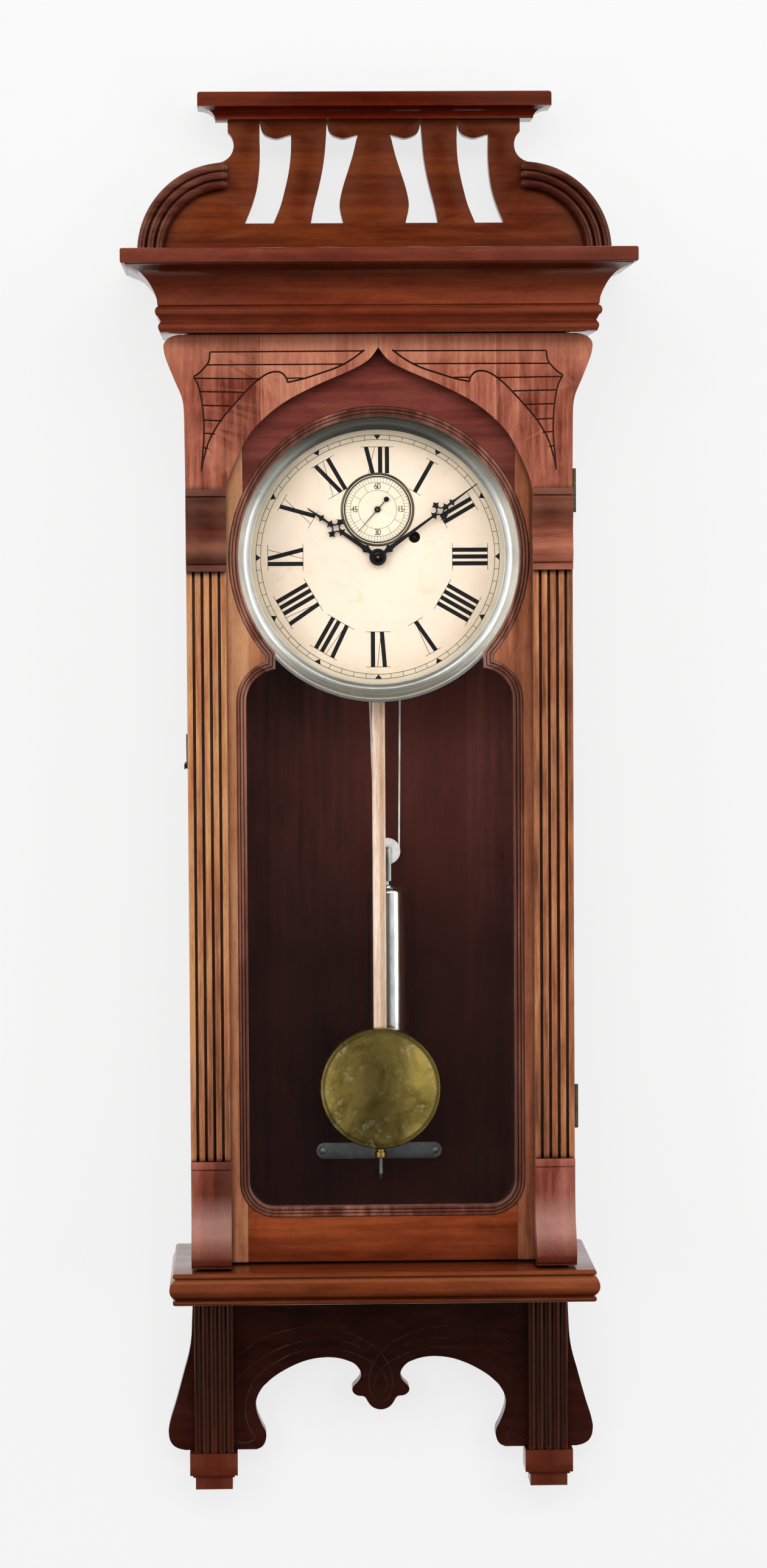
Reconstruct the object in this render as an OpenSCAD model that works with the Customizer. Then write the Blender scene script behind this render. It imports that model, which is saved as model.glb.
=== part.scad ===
// Wall regulator clock: pierced crest, moulded cornice, keyhole door and apron,
// with a weight driven movement and a seconds dial.
// The origin is the centre of the hanger hole on the wall plane; the front faces -Y and +Z is up.
// "Depth" is the distance from the wall, and "drop" the distance below the top of the cornice.

/* [Case] */
// Width over the side boards
case_w = 364; // [340:1:400]
// Depth of the case from the wall to the back of the door
case_depth = 112; // [108:1:130]
// Thickness of the side boards and of the board under the cornice
board_t = 14; // [10:0.5:20]
// Thickness of the back board
back_t = 12; // [8:0.5:13]
// Drop from the cornice top to the top of the ledge
case_h = 969; // [960:1:990]
// Rise of the hanger hole above the cornice top
hang_rise = 18; // [14:0.5:30]
// Diameter of the hanger hole
hanger_hole = 9; // [6:0.5:12]

/* [Cornice and crest] */
// Thickness of the cornice slab
slab_t = 14; // [10:0.5:20]
// How far the slab stands out beyond the door pilasters
slab_out = 58.5; // [54:0.5:70]
// Height of the cornice moulding under the slab
cornice_h = 63; // [60:1:66]
// Thickness of the crest board
crest_t = 22; // [16:1:26]
// Depth of the back face of the crest board
crest_back = 24; // [18:1:34]
// Half of the width of the crest neck
neck_w = 141.6; // [138:0.2:146]
// Height of the crest board
crest_h = 133; // [128:0.5:140]
// Radius of the crest shoulders
shoulder_r = 87; // [80:0.5:90]
// Width of the reeded arches on the crest
arch_w = 25.2; // [20:0.3:27]
// How far the arches stand out from the crest board
arch_t = 12; // [8:0.5:14]
// Height of the crest cap
cap_h = 25; // [22:0.5:32]

/* [Door] */
// How far the door stands out past each side of the case
door_over = 2; // [1:0.5:6]
// Thickness of the door frame
door_t = 22; // [18:0.5:26]
// Thickness of the boards and pilasters on the door
relief_t = 16; // [12:0.5:20]
// Half of the width of the long window
window_w = 127.9; // [120:0.1:132]
// Height of the bottom edge of the window above the bottom of the door
window_rise = 52.6; // [45:0.2:70]
// Radius of the round opening in front of the dial
round_r = 134.5; // [132:0.5:136]
// Half of the width between the noses of the keyhole
nose_w = 99.6; // [94:0.2:104]
// Width of the reeded moulding round the opening
reed_w = 9.4; // [7:0.2:12]
// Thickness of the glass
glass_t = 2.4; // [2:0.1:3]
// Width of a fluted pilaster
pilaster_w = 38; // [34:0.5:42]
// Width of a flute
flute_w = 2.6; // [2:0.1:3.4]
// Height of the capitals
capital_h = 77.5; // [70:0.5:80]
// How far the capitals stand out from the pilasters
capital_out = 12; // [8:0.5:14]
// Height of the foot blocks
foot_h = 100; // [90:1:110]
// How far the foot blocks swell out over the ledge
foot_out = 28; // [20:0.5:30]
// Running gap round the door
door_gap = 1.2; // [0.8:0.1:2]

/* [Ledge and apron] */
// Thickness of the ledge
ledge_t = 31; // [28:0.5:36]
// How far the ledge stands out beyond the door pilasters
ledge_out = 21; // [19:0.5:28]
// Thickness of the apron board
apron_t = 22; // [18:0.5:24]
// Height of the apron down to the feet
apron_h = 207.5; // [204:0.5:220]

/* [Dial] */
// Drop of the dial centre
dial_drop = 290; // [286:1:300]
// Radius of the painted dial
dial_r = 134; // [130:0.5:140]
// Radius of the dial that shows inside the bezel
dial_show_r = 122.5; // [118:0.5:126]
// Depth of the front of the dial
dial_depth = 90; // [88:0.5:92]
// Outer radius of the bezel
bezel_r = 139.5; // [137:0.5:142]
// Radius of the seconds dial
seconds_r = 35.5; // [33:0.5:37]

/* [Movement] */
// Distance from the centre arbor up to the seconds arbor
seconds_rise = 45.8; // [45.6:0.1:46]
// Distance from the seconds arbor up to the anchor arbor
anchor_rise = 22.4; // [22.2:0.1:24]
// Tooth module of the great wheel and centre pinion
great_m = 0.628; // [0.62:0.002:0.64]
// Teeth of the great wheel
great_n = 120; // [112:4:124]
// Leaves of each pinion
leaf_n = 8; // [8:1:8]
// Direction of the winding arbor from the centre, from 3 o'clock upwards
wind_angle = 28.2; // [26:0.1:30]
// Tooth module of the centre and third wheels
train_m = 0.7; // [0.69:0.005:0.71]
// Teeth of the centre wheel
centre_n = 64; // [64:1:64]
// Teeth of the third wheel
third_n = 60; // [60:1:60]
// Tooth module of the motion work
motion_m = 0.5; // [0.48:0.01:0.52]
// Thickness of a movement plate
plate_t = 2; // [1.6:0.1:2.2]
// Play between an arbor and its hole, on the radius
play = 0.05; // [0.03:0.01:0.09]
// Radius of the drum
drum_r = 10.3; // [9.5:0.1:11]

/* [Pendulum and weight] */
// Length from the anchor arbor to the middle of the bob
pendulum_len = 585; // [570:1:600]
// Radius of the bob
bob_r = 59; // [52:0.5:62]
// Thickness of the bob
bob_t = 24; // [16:0.5:26]
// Width of the pendulum stick
stick_w = 12.8; // [10:0.2:14]
// Thickness of the pendulum stick
stick_t = 6; // [4:0.5:8]
// Depth of the middle of the pendulum
pendulum_depth = 72; // [71:0.5:73]
// Radius of the weight
weight_r = 21; // [18:0.5:22]
// Length of the weight
weight_h = 200; // [160:1:210]
// Depth of the middle of the weight
weight_depth = 35.5; // [35:0.5:37]
// Diameter of the cord
cord_d = 2; // [1.6:0.1:2.2]

/* [Hidden] */

// Colours of the finishes.
wood = "#8a4526";
wood_dark = "#5a2617";
wood_front = "#a65a35";
brass = "#c9a24a";
steel = "#9a9ea3";
black = "#1c1b1a";

// Radii of a tooth above and below the pitch circle, in modules, and the play between teeth.
wheel_tip = 0.7;
pinion_tip = 1.0;
tooth_root = 1.05;
tooth_play = 0.16;
pressure = 25;

top = -hang_rise;
hw = case_w / 2;
dw = hw + door_over;
door_front = case_depth + door_t;
relief_front = door_front + relief_t;
soffit = top - slab_t - cornice_h;
door_top = soffit - door_gap;
ledge_top = top - case_h;
door_bottom = ledge_top + 2 * door_gap;
ledge_bottom = ledge_top - ledge_t;
foot = ledge_bottom - apron_h;
dial_z = top - dial_drop;
seconds_z = dial_z + seconds_rise;
anchor_z = seconds_z + anchor_rise;
bob_z = anchor_z - pendulum_len;

function arc(x, y, r, a0, a1, n = 8) =
    [for (i = [0:n]) let (a = a0 + (a1 - a0) * i / n) [x + r * cos(a), y + r * sin(a)]];
function blend4(a, b, c, d, t) =
    0.5 * (2 * b + (c - a) * t + (2 * a - 5 * b + 4 * c - d) * t * t
    + (3 * b - a - 3 * c + d) * t * t * t);
function spline(p, n = 4) =
    [for (i = [0:len(p) - 2], k = [0:n - 1])
        blend4(p[max(i - 1, 0)], p[i], p[i + 1], p[min(i + 2, len(p) - 1)], k / n),
     p[len(p) - 1]];
function reversed(p) = [for (i = [len(p) - 1:-1:0]) p[i]];

// Puts a front view outline at a depth from the wall and gives it a thickness towards the front.
module front(depth, t) {
    translate([0, -depth, 0]) rotate([90, 0, 0]) linear_extrude(t) children();
}

// Runs a section of depth and height along X, from x0 to x1.
module across(x0, x1) {
    translate([x1, 0, 0]) rotate([90, 0, -90]) linear_extrude(x1 - x0) children();
}

// Turns a profile of radius and depth about an axis that points forward.
module turned(x, z, depth) {
    translate([x, -depth, z]) rotate([90, 0, 0]) rotate_extrude($fn = 96) children();
}

module rod(x, z, from, to, r, fn = 48) {
    at(x, z, from, to - from) circle(r, $fn = fn);
}

module at(x, z, depth, t) {
    translate([x, -depth, z]) rotate([90, 0, 0]) linear_extrude(t) children();
}

module block(x0, x1, d0, d1, z0, z1) {
    translate([x0, -d1, z0]) cube([x1 - x0, d1 - d0, z1 - z0]);
}

module both() {
    children();
    mirror([1, 0, 0]) children();
}

// A block with a moulded edge on the front and both ends, mitred at its corners.
// The profile gives how far the edge stands out at each height, from the top down.
module moulded(half, depth, back, profile) {
    side = [for (q = profile) [half + q[0], q[1]]];
    last = profile[len(profile) - 1][1];
    reach = depth + 200;
    intersection() {
        front(back, reach) polygon(concat(side, [for (q = reversed(side)) [-q[0], q[1]]]));
        across(-half - 200, half + 200) polygon(concat([for (q = profile) [depth + q[0], q[1]]],
            [[back, last], [back, profile[0][1]]]));
    }
}

/* Case */

back_z0 = ledge_top;
back_z1 = top - slab_t;

module back_board() {
    color(wood_dark) difference() {
        block(-hw + board_t, hw - board_t, 0, back_t, back_z0, back_z1);
        hanger_recess();
        for (z = hanger_screws) rod(0, z, 0, 9, hanger_screw_r + play);
        for (x = beat_screws) rod(x, beat_z, back_t - 6, back_t + 1, beat_screw_r + play);
    }
}

module side_boards() {
    color(wood) difference() {
        both() block(hw - board_t, hw, 0, case_depth, back_z0, back_z1);
        leaf_seat(hw, case_depth - leaf_t - 0.05, case_depth + 1);
        hook_screw_hole(play);
    }
}

module top_board() {
    color(wood) block(-hw + board_t, hw - board_t, back_t, case_depth, back_z1 - board_t, back_z1);
}

// The steel hanger stands up behind the crest and is let into the back of the slab.
hanger_w = 34;
hanger_t = 2.5;
hanger_top = 16;
hanger_low = -70;
hanger_screw_r = 1.9;
hanger_screws = [hanger_low + 9, hanger_low + 28];

// A countersunk screw that goes in from the wall side; g widens it into its own hole.
module hanger_screw(z, g) {
    turned(0, z, 0) polygon([[0, 0.1 - g], [3.7 + g, 0.1 - g], [hanger_screw_r + g, 2],
        [hanger_screw_r + g, 8.5], [0, 8.5]]);
}

module hanger_plate() {
    color(steel) difference() {
        front(0, hanger_t) union() {
            translate([0, hanger_top - hanger_w / 2]) circle(hanger_w / 2, $fn = 64);
            translate([-hanger_w / 2, hanger_low])
                square([hanger_w, hanger_top - hanger_w / 2 - hanger_low]);
        }
        rod(0, 0, -1, hanger_t + 1, hanger_hole / 2, 64);
        for (z = hanger_screws) hanger_screw(z, play + 0.05);
    }
}

// The room that the hanger takes in the boards behind it.
module hanger_recess() {
    let (g = 0.1)
        block(-hanger_w / 2 - g, hanger_w / 2 + g, -1, hanger_t + g, hanger_low - g, top + 1);
}

module screw(x, z, depth, r, head_r, length, head_t) {
    rod(x, z, depth - length, depth + 0.1, r);
    difference() {
        turned(x, z, depth) polygon(concat([[0, 0], [head_r, 0]],
            [for (a = [0:15:90]) [head_r * cos(a), 0.3 * head_t + 0.7 * head_t * sin(a)]]));
        front(depth + head_t * 0.6, head_t) translate([x, z])
            square([2 * head_r + 1, head_r / 4], center = true);
    }
}

/* Cornice */

cornice_half = dw;
cornice_depth = relief_front + 2;

module cornice_slab() {
    round = 2;
    color(wood) difference() {
        moulded(cornice_half, cornice_depth, 0, concat([[slab_out - round, top]],
            arc(slab_out - round, top - round, round, 90, 0, 3),
            arc(slab_out - round, back_z1 + round, round, 0, -90, 3)));
        hanger_recess();
    }
}

// Cove, large bead, hollow and small bead, from the slab down to the soffit.
cornice_low = 22.5;
cove_top = slab_out - 4;
function cornice_profile() = concat(
    [[cove_top, back_z1]],
    spline([[cove_top - 0.4, back_z1 - 1], [cove_top - 12.2, back_z1 - 6], [cove_top - 19.6, back_z1 - 13],
        [cove_top - 24.4, back_z1 - 20], [cove_top - 29, back_z1 - 30], [cornice_low + 2, back_z1 - 37.5]]),
    arc(cornice_low - 1, back_z1 - 43.5, 5.4, 70, -62, 8),
    [[cornice_low - 1, back_z1 - 53]],
    arc(cornice_low - 3, back_z1 - 58, 4.6, 48, -40, 6),
    [[cornice_low, soffit]]);

module cornice_moulding() {
    color(wood) difference() {
        moulded(cornice_half, cornice_depth, 0, cornice_profile());
        block(-hw, hw, -1, case_depth, soffit - 1, back_z1 + 1);
    }
}

/* Crest */

crest_front = crest_back + crest_t;
shoulder_x = neck_w + 1.7;
shoulder_z = crest_h - 128;
notch_r = 16.8;
notch_x = neck_w + 11.1;
notch_z = shoulder_z + shoulder_r + notch_r;
notch_end = acos((notch_x - neck_w) / notch_r);

function crest_side() = concat(
    [[shoulder_x + shoulder_r, 0]],
    arc(shoulder_x, shoulder_z, shoulder_r, 0, 83.6, 18),
    arc(notch_x, notch_z, notch_r, 270, 180 + notch_end - 97.2, 10),
    [[neck_w, crest_h]]);

// One pierced slot: a spike at one top corner, a hanging lobe and two swept sides.
// The sides are given from the top down, and tip is the side on which the spike stands.
module slot(left, right, tip) {
    z = crest_h - 133;
    spike = tip < 0 ? left[0] : right[0];
    far = tip < 0 ? right[0] : left[0];
    s = tip < 0 ? 1 : -1;
    lobe = spline([[far, 119.3], [far - s * 9, 116.3], [(spike + far) / 2, 115.3],
        [spike + s * 6.8, 118], [spike + s * 2.9, 122], [spike + s * 1.2, 128], [spike + s * 0.5, 132]], 3);
    heights = [114, 98.4, 82, 66, 50, 33.5];
    edge = function (x) spline([for (i = [0:5]) [x[i + 1], heights[i]]], 3);
    translate([0, z]) polygon(concat(tip < 0 ? reversed(lobe) : lobe,
        edge(right), reversed(edge(left))));
}

outer_slot = [[111, 110.8, 110.6, 111.6, 114, 118.8, 125.6], [80.4, 80.2, 80.8, 83, 86.6, 91, 97.8]];
inner_slot = [[46, 46.6, 48, 50.6, 54.2, 58.4, 61.6], [15.4, 17, 20.8, 26, 31, 33.6, 30.2]];
function minus(p) = [for (v = p) -v];

module crest_board() {
    color(wood) front(crest_back, crest_t) translate([0, top]) difference() {
        polygon(concat(crest_side(), [for (q = reversed(crest_side())) [-q[0], q[1]]]));
        slot(minus(outer_slot[0]), minus(outer_slot[1]), -1);
        slot(outer_slot[1], outer_slot[0], -1);
        slot(minus(inner_slot[0]), minus(inner_slot[1]), -1);
        slot(inner_slot[1], inner_slot[0], 1);
    }
}

// Three beads turned about the middle of each shoulder, a quarter of a circle long.
bead_pitch = arch_w / 3;
bead_r = bead_pitch * 0.49;

module crest_arches() {
    outer = shoulder_r - 0.2;
    base = arch_t - bead_r;
    color(wood) both() intersection() {
        translate([shoulder_x, -crest_front, top + shoulder_z]) rotate([90, 0, 0])
            rotate_extrude(angle = 92, start = -3, $fn = 160) difference() {
                union() {
                    translate([outer - arch_w, 0]) square([arch_w, base]);
                    intersection() {
                        translate([outer - arch_w, 0]) square([arch_w, arch_t + 1]);
                        for (i = [0:2]) translate([outer - (i + 0.5) * bead_pitch, base])
                            circle(bead_r, $fn = 40);
                    }
                }
                translate([0, -10]) square([200, 10]);
            }
        block(shoulder_x - 20, shoulder_x + shoulder_r, crest_front, crest_front + arch_t + 1,
            top, top + crest_h);
    }
}

module crest_cap() {
    p = 12;
    fillet = 14;
    out = 17;
    round = 3;
    z1 = top + crest_h + cap_h;
    z0 = top + crest_h;
    color(wood) moulded(neck_w, crest_front, crest_back - 8, concat(
        arc(p + out - round, z1 - round, round, 90, 0, 4),
        [[p + out, z1 - fillet]],
        [for (a = [80:-16:0]) [p + out * (1 - cos(a)), z0 + (cap_h - fillet) * sin(a)]],
        [[p, z0]]));
}

/* Ledge and apron */

module ledge() {
    mid = ledge_out - 6;
    r = ledge_t * 0.36;
    color(wood) moulded(dw, relief_front + 18, 0, concat(
        arc(mid, ledge_top - 3, 3, 90, -20, 5),
        arc(mid - 5, ledge_top - ledge_t / 2, r, 62, -62, 10),
        arc(mid, ledge_bottom + 3, 3, 20, -90, 5)));
}

apron_back = 0;
apron_front = apron_back + apron_t;
collar_z = foot + 36;

// Half of the apron outline, from the top outer corner round to the middle of the pendant.
function apron_side() = concat(
    spline([[dw + 1, ledge_bottom], [dw + 3, collar_z + 113], [dw + 8, collar_z + 87.5],
        [dw + 18.7, collar_z + 47.6], [dw + 25.2, collar_z + 25.6], [dw + 25.6, collar_z + 14],
        [dw + 21, collar_z + 4], [dw + 9.5, collar_z]], 3),
    [[dw - 61, collar_z]],
    spline([[dw - 66.6, collar_z + 3], [dw - 70, collar_z + 10], [dw - 70, collar_z + 17],
        [dw - 64.8, collar_z + 28], [dw - 60.8, collar_z + 40], [dw - 61.2, collar_z + 50],
        [dw - 68.4, collar_z + 64.8], [dw - 86, collar_z + 79], [dw - 101, collar_z + 86],
        [dw - 112.5, collar_z + 91]], 3),
    spline([[36.4, collar_z + 90.6], [22.4, collar_z + 82], [19.6, collar_z + 75], [28.4, collar_z + 60],
        [20.4, collar_z + 52.5], [11.4, collar_z + 45], [0, collar_z + 39.6]], 3));

module apron_board() {
    color(wood_dark) front(apron_back, apron_t) polygon(concat(apron_side(),
        [for (q = reversed([for (p = apron_side()) if (p[0] > 0) p])) [-q[0], q[1]]]));
}

// A fluted strip with its five flats, as a front view outline and a depth.
module fluted(x0, x1, z0, z1, back, t, flute) {
    count = 4;
    flat = (x1 - x0 - count * flute_w) / (count + 1);
    difference() {
        block(x0, x1, back, back + t, z0, z1);
        for (i = [1:count]) block(x0 + i * (flat + flute_w) - flute_w, x0 + i * (flat + flute_w),
            back + t - flute, back + t + 1, z0 - 1, z1 + 1);
    }
}

pil_x0 = dw - pilaster_w;
strip_t = 16;
flute_t = 4;

module apron_pilasters() {
    collar_h = 22;
    step_h = 2;
    color(wood) both() {
        fluted(pil_x0, dw, collar_z, ledge_bottom, apron_front, strip_t, flute_t);
        block(pil_x0 - 4, dw + 5, apron_back, apron_front + strip_t + 4, collar_z - collar_h, collar_z);
        block(pil_x0 + 1, dw - 0.5, apron_back, apron_front + strip_t + 1, foot, collar_z - collar_h);
        block(pil_x0 - 1, dw + 2, apron_back, apron_front + strip_t + 2.5,
            collar_z - collar_h - step_h, collar_z - collar_h);
    }
}

/* Door frame */

nose_top = dial_z - sqrt(round_r * round_r - nose_w * nose_w);
nose_low = nose_top - 16;
corner_r = 31;
corner_z = nose_low - corner_r;
low_r = 24.5;
window_z = door_bottom + window_rise;

// The keyhole opening grown by g: a circle, a neck between two noses and a long window.
module keyhole(g) {
    translate([0, dial_z]) circle(round_r + g, $fn = 160);
    translate([-nose_w - g, nose_low - 20]) square([2 * (nose_w + g), nose_top - nose_low + 30]);
    both_flat() {
        translate([window_w - corner_r, corner_z]) circle(corner_r + g, $fn = 80);
        translate([window_w - low_r, window_z + low_r]) circle(low_r + g, $fn = 80);
    }
    translate([-window_w - g, window_z + low_r]) square([2 * (window_w + g), corner_z - window_z - low_r]);
    translate([-window_w + low_r, window_z - g]) square([2 * (window_w - low_r), low_r + g + 1]);
    translate([-window_w + corner_r, corner_z - 1]) square([2 * (window_w - corner_r), corner_r + g + 1]);
}

module both_flat() {
    children();
    mirror([1, 0]) children();
}

rebate_t = 5;
rebate_w = window_w + 19;
rebate_top = dial_z + round_r + 12;
rebate_low = window_z - 9;
stile_x = window_w + 2;
rail_top_low = dial_z + 30;
rail_bottom_top = window_z + low_r + 4;
knuckle_r = 3;
hinge_x = dw + knuckle_r + 0.1;
hinge_h = 42;
hinge_z = [dial_z + 63, ledge_top + 148];
leaf_t = 1.4;
leaf_w = 12;

// The shallow seats of the hinge leaves in an upright whose outer face is at x.
module leaf_seat(x, from, to) {
    for (z = hinge_z)
        block(x - leaf_w - 0.1, x + 1, from, to, z - hinge_h / 2 - 0.1, z + hinge_h / 2 + 0.1);
}

module door_cut() {
    front(case_depth - 1, door_t + 2) keyhole(reed_w);
    block(-rebate_w, rebate_w, case_depth - 1, case_depth + rebate_t, rebate_low, rebate_top);
}

module door_stiles() {
    color(wood_front) difference() {
        both() union() {
            block(stile_x, dw, case_depth, door_front, door_bottom, door_top);
            block(nose_w - 2, stile_x, case_depth, door_front, corner_z + 4, rail_top_low);
        }
        door_cut();
        leaf_seat(dw, case_depth - 1, case_depth + leaf_t + 0.05);
        catch_pin_shape(play);
    }
}

module door_top_rail() {
    color(wood_dark) difference() {
        block(-stile_x, stile_x, case_depth, door_front, rail_top_low, door_top);
        door_cut();
    }
}

module door_bottom_rail() {
    color(wood_front) difference() {
        block(-stile_x, stile_x, case_depth, door_front, door_bottom, rail_bottom_top);
        door_cut();
    }
}

// Section of the moulding: three beads that step back towards the opening.
reed_t = 15;
reed_play = 0.1;
reed_step = reed_w / 3;
function reed_face() = [for (i = [0:2])
    each arc((i + 0.5) * reed_step, door_front - 1 - 1.1 * (2 - i), reed_step / 2, 172, 8, 6)];
// The waste in front of the section, from just inside the opening to just beyond the moulding.
reed_waste = concat([[-0.5, door_front + 3], [-0.5, reed_face()[0][1]]], reed_face(),
    [[reed_w + 0.5, reed_face()[20][1]], [reed_w + 0.5, door_front + 3]]);

// Points where the runs of the moulding meet, at the distance g from the opening.
mitre = [-0.5, 2, 4.5, 7, reed_w + 0.5];
function nose_upper(g) = [nose_w + g, dial_z - sqrt(pow(round_r + g, 2) - pow(nose_w + g, 2))];
function nose_lower(g) = [nose_w + g,
    corner_z + sqrt(pow(corner_r + g, 2) - pow(nose_w + g - window_w + corner_r, 2))];

module waste_round(x, z, ring, from, sweep) {
    translate([x, 0, z]) rotate([90, 0, 0]) rotate_extrude(angle = sweep, start = from, $fn = 160)
        polygon([for (q = reed_waste) [ring + q[0], q[1]]]);
}

module waste_up(x, z0, z1) {
    translate([0, 0, z0]) linear_extrude(z1 - z0) polygon([for (q = reed_waste) [x + q[0], -q[1]]]);
}

module opening_moulding() {
    far = window_w + 30;
    up = [for (g = mitre) nose_upper(g)];
    low = [for (g = mitre) nose_lower(g)];
    color(wood) difference() {
        front(door_front - reed_t, reed_t + 1) difference() {
            keyhole(reed_w - reed_play);
            keyhole(0);
        }
        intersection() {
            waste_round(0, dial_z, round_r, 0, 360);
            front(door_front - reed_t, reed_t + 9)
                polygon(concat([[-far, dial_z + far], [far, dial_z + far],
                [far, up[4][1]]], reversed(up), [for (q = up) [-q[0], q[1]]], [[-far, up[4][1]]]));
        }
        both() {
            intersection() {
                waste_up(nose_w, nose_low - 30, nose_top + 20);
                front(door_front - reed_t, reed_t + 9) polygon(concat(up, reversed(low)));
            }
            intersection() {
                waste_round(window_w - corner_r, corner_z, corner_r, 0, 110);
                front(door_front - reed_t, reed_t + 9) polygon(concat([[low[0][0], corner_z - 1]], low,
                    [[far, low[4][1]], [far, corner_z - 1]]));
            }
            waste_up(window_w, window_z + low_r, corner_z);
            waste_round(window_w - low_r, window_z + low_r, low_r, 270, 90);
        }
        across(-window_w + low_r, window_w - low_r) polygon([for (q = reed_waste) [q[1], window_z - q[0]]]);
    }
}

glass_back = case_depth + 2;

module door_glass() {
    g = 0.4;
    color("#bcd2d8", 0.3) front(glass_back, glass_t)
        translate([-rebate_w + g, rebate_low + g])
            square([2 * (rebate_w - g), rebate_top - rebate_low - 2 * g]);
}

module glass_strips() {
    g = 0.4;
    strip_w = 8;
    color(wood_dark) difference() {
        block(-rebate_w + g, rebate_w - g, case_depth + 0.4, glass_back, rebate_low + g, rebate_top - g);
        block(-rebate_w + strip_w, rebate_w - strip_w, case_depth - 1, glass_back + 1,
            rebate_low + strip_w, rebate_top - strip_w);
    }
}

/* Boards, capitals and pilasters on the door */

capital_top = dial_z + 65;
capital_low = capital_top - capital_h;
block_top = door_bottom + foot_h;

function spandrel_side() = concat(
    [[0.15, door_top], [dw + 5, door_top]],
    spline([[dw + 9.4, door_top - 1], [dw + 15, door_top - 3.4], [dw + 19, door_top - 8],
        [dw + 19.5, door_top - 13.5],
        [dw + 17, door_top - 24], [dw + 9, door_top - 44], [dw + 3.4, door_top - 57],
            [dw + 1.2, door_top - 67],
        [dw + 0.6, door_top - 80]], 3),
    [[dw, capital_top], [dw - pilaster_w - 0.6, capital_top]],
    spline([[dw - pilaster_w - 0.6, capital_top + 2], [dw - 41.4, capital_top + 12],
        [dw - 51.4, door_top - 112],
        [dw - 65, door_top - 89.5], [dw - 91, door_top - 66.5], [dw - 123.5, door_top - 49],
        [dw - 156, door_top - 35], [dw - 174, door_top - 25], [0.15, door_top - 13]], 4));

module spandrels() {
    color(wood_front) both() front(door_front, relief_t) polygon(spandrel_side());
}

module capitals() {
    f = relief_front;
    h = capital_h;
    fillet = 6;
    lip = f + capital_out - 4;
    color(wood) both() across(pil_x0 - 0.4, dw) polygon(concat(
        [[door_front, capital_low], [door_front, capital_top], [lip, capital_top],
         [lip, capital_top - fillet], [lip - 1.4, capital_top - fillet],
             [lip - 1.4, capital_top - fillet - 1]],
        spline([[lip + 0.6, capital_top - fillet - 1.5], [lip + 4, capital_top - 0.24 * h],
            [lip + 0.6, capital_top - 0.38 * h], [lip - 1.8, capital_top - 0.52 * h],
            [lip + 0.4, capital_top - 0.66 * h], [lip + 3, capital_top - 0.78 * h],
            [lip - 0.4, capital_low + fillet + 1.5]], 4),
        [[lip - 2.4, capital_low + fillet + 1], [lip - 2.4, capital_low + fillet],
         [lip - 1.4, capital_low + fillet], [lip - 1.4, capital_low]]));
}

module door_pilasters() {
    color(wood_front) both() fluted(pil_x0, dw, block_top, capital_low, door_front, relief_t, flute_t);
}

// Foot blocks: a fillet, a flat face and a long ogee that swells out over the ledge.
module foot_blocks() {
    f = relief_front;
    z = door_bottom;
    fillet = 7;
    color(wood) both() across(pil_x0 - 0.4, dw) polygon(concat(
        [[door_front, z], [door_front, block_top], [f + 5, block_top], [f + 5, block_top - fillet],
         [f + 3.6, block_top - fillet], [f + 3.6, block_top - fillet - 1]],
        spline([[f + 4.6, block_top - fillet - 2], [f + 3.6, z + 0.74 * foot_h],
            [f + 4.6, z + 0.58 * foot_h],
            [f + 0.32 * foot_out, z + 0.42 * foot_h], [f + 0.62 * foot_out, z + 0.3 * foot_h],
            [f + 0.9 * foot_out, z + 0.2 * foot_h], [f + foot_out, z + 0.11 * foot_h],
            [f + 0.9 * foot_out, z + 0.034 * foot_h]], 4),
        [[f + 0.82 * foot_out, z + 2], [f + 0.82 * foot_out, z]]));
}

/* Hinges, hook and small fittings */

pin_r = 1.3;
knuckle_h = hinge_h / 3;

module case_hinges() {
    color(brass) for (z = hinge_z) {
        block(hw - leaf_w, hw, case_depth - leaf_t, case_depth - 0.1, z - hinge_h / 2, z + hinge_h / 2);
        for (i = [-1, 1]) {
            block(hw - 1, hinge_x, case_depth - leaf_t, case_depth - 0.1,
                z + i * knuckle_h - knuckle_h / 2, z + i * knuckle_h + knuckle_h / 2);
            translate([hinge_x, -case_depth, z + i * knuckle_h - knuckle_h / 2])
                cylinder(knuckle_h, knuckle_r, knuckle_r, $fn = 48);
        }
        translate([hinge_x, -case_depth, z - knuckle_h]) cylinder(2 * knuckle_h, pin_r, pin_r, $fn = 48);
    }
}

module door_hinges() {
    z0 = -knuckle_h / 2 + 0.15;
    color(brass) for (z = hinge_z) {
        block(dw - leaf_w, dw, case_depth + 0.1, case_depth + leaf_t, z - hinge_h / 2, z + hinge_h / 2);
        difference() {
            union() {
                block(dw - 1, hinge_x, case_depth + 0.1, case_depth + leaf_t, z + z0, z - z0);
                translate([hinge_x, -case_depth, z + z0]) cylinder(-2 * z0, knuckle_r, knuckle_r, $fn = 48);
            }
            translate([hinge_x, -case_depth, z - hinge_h])
                cylinder(2 * hinge_h, pin_r + play, pin_r + play, $fn = 48);
        }
    }
}

// A flat brass hook on the left side, stored raised; lowered, it holds a round pin in the edge of the door.
hook_z = ledge_top + 480;
hook_d = case_depth - 14;
hook_t = 1.4;
hook_up = 50;
hook_pin_r = 1.8;
hook_reach = 24;
hook_side = dw + 0.3;

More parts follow.
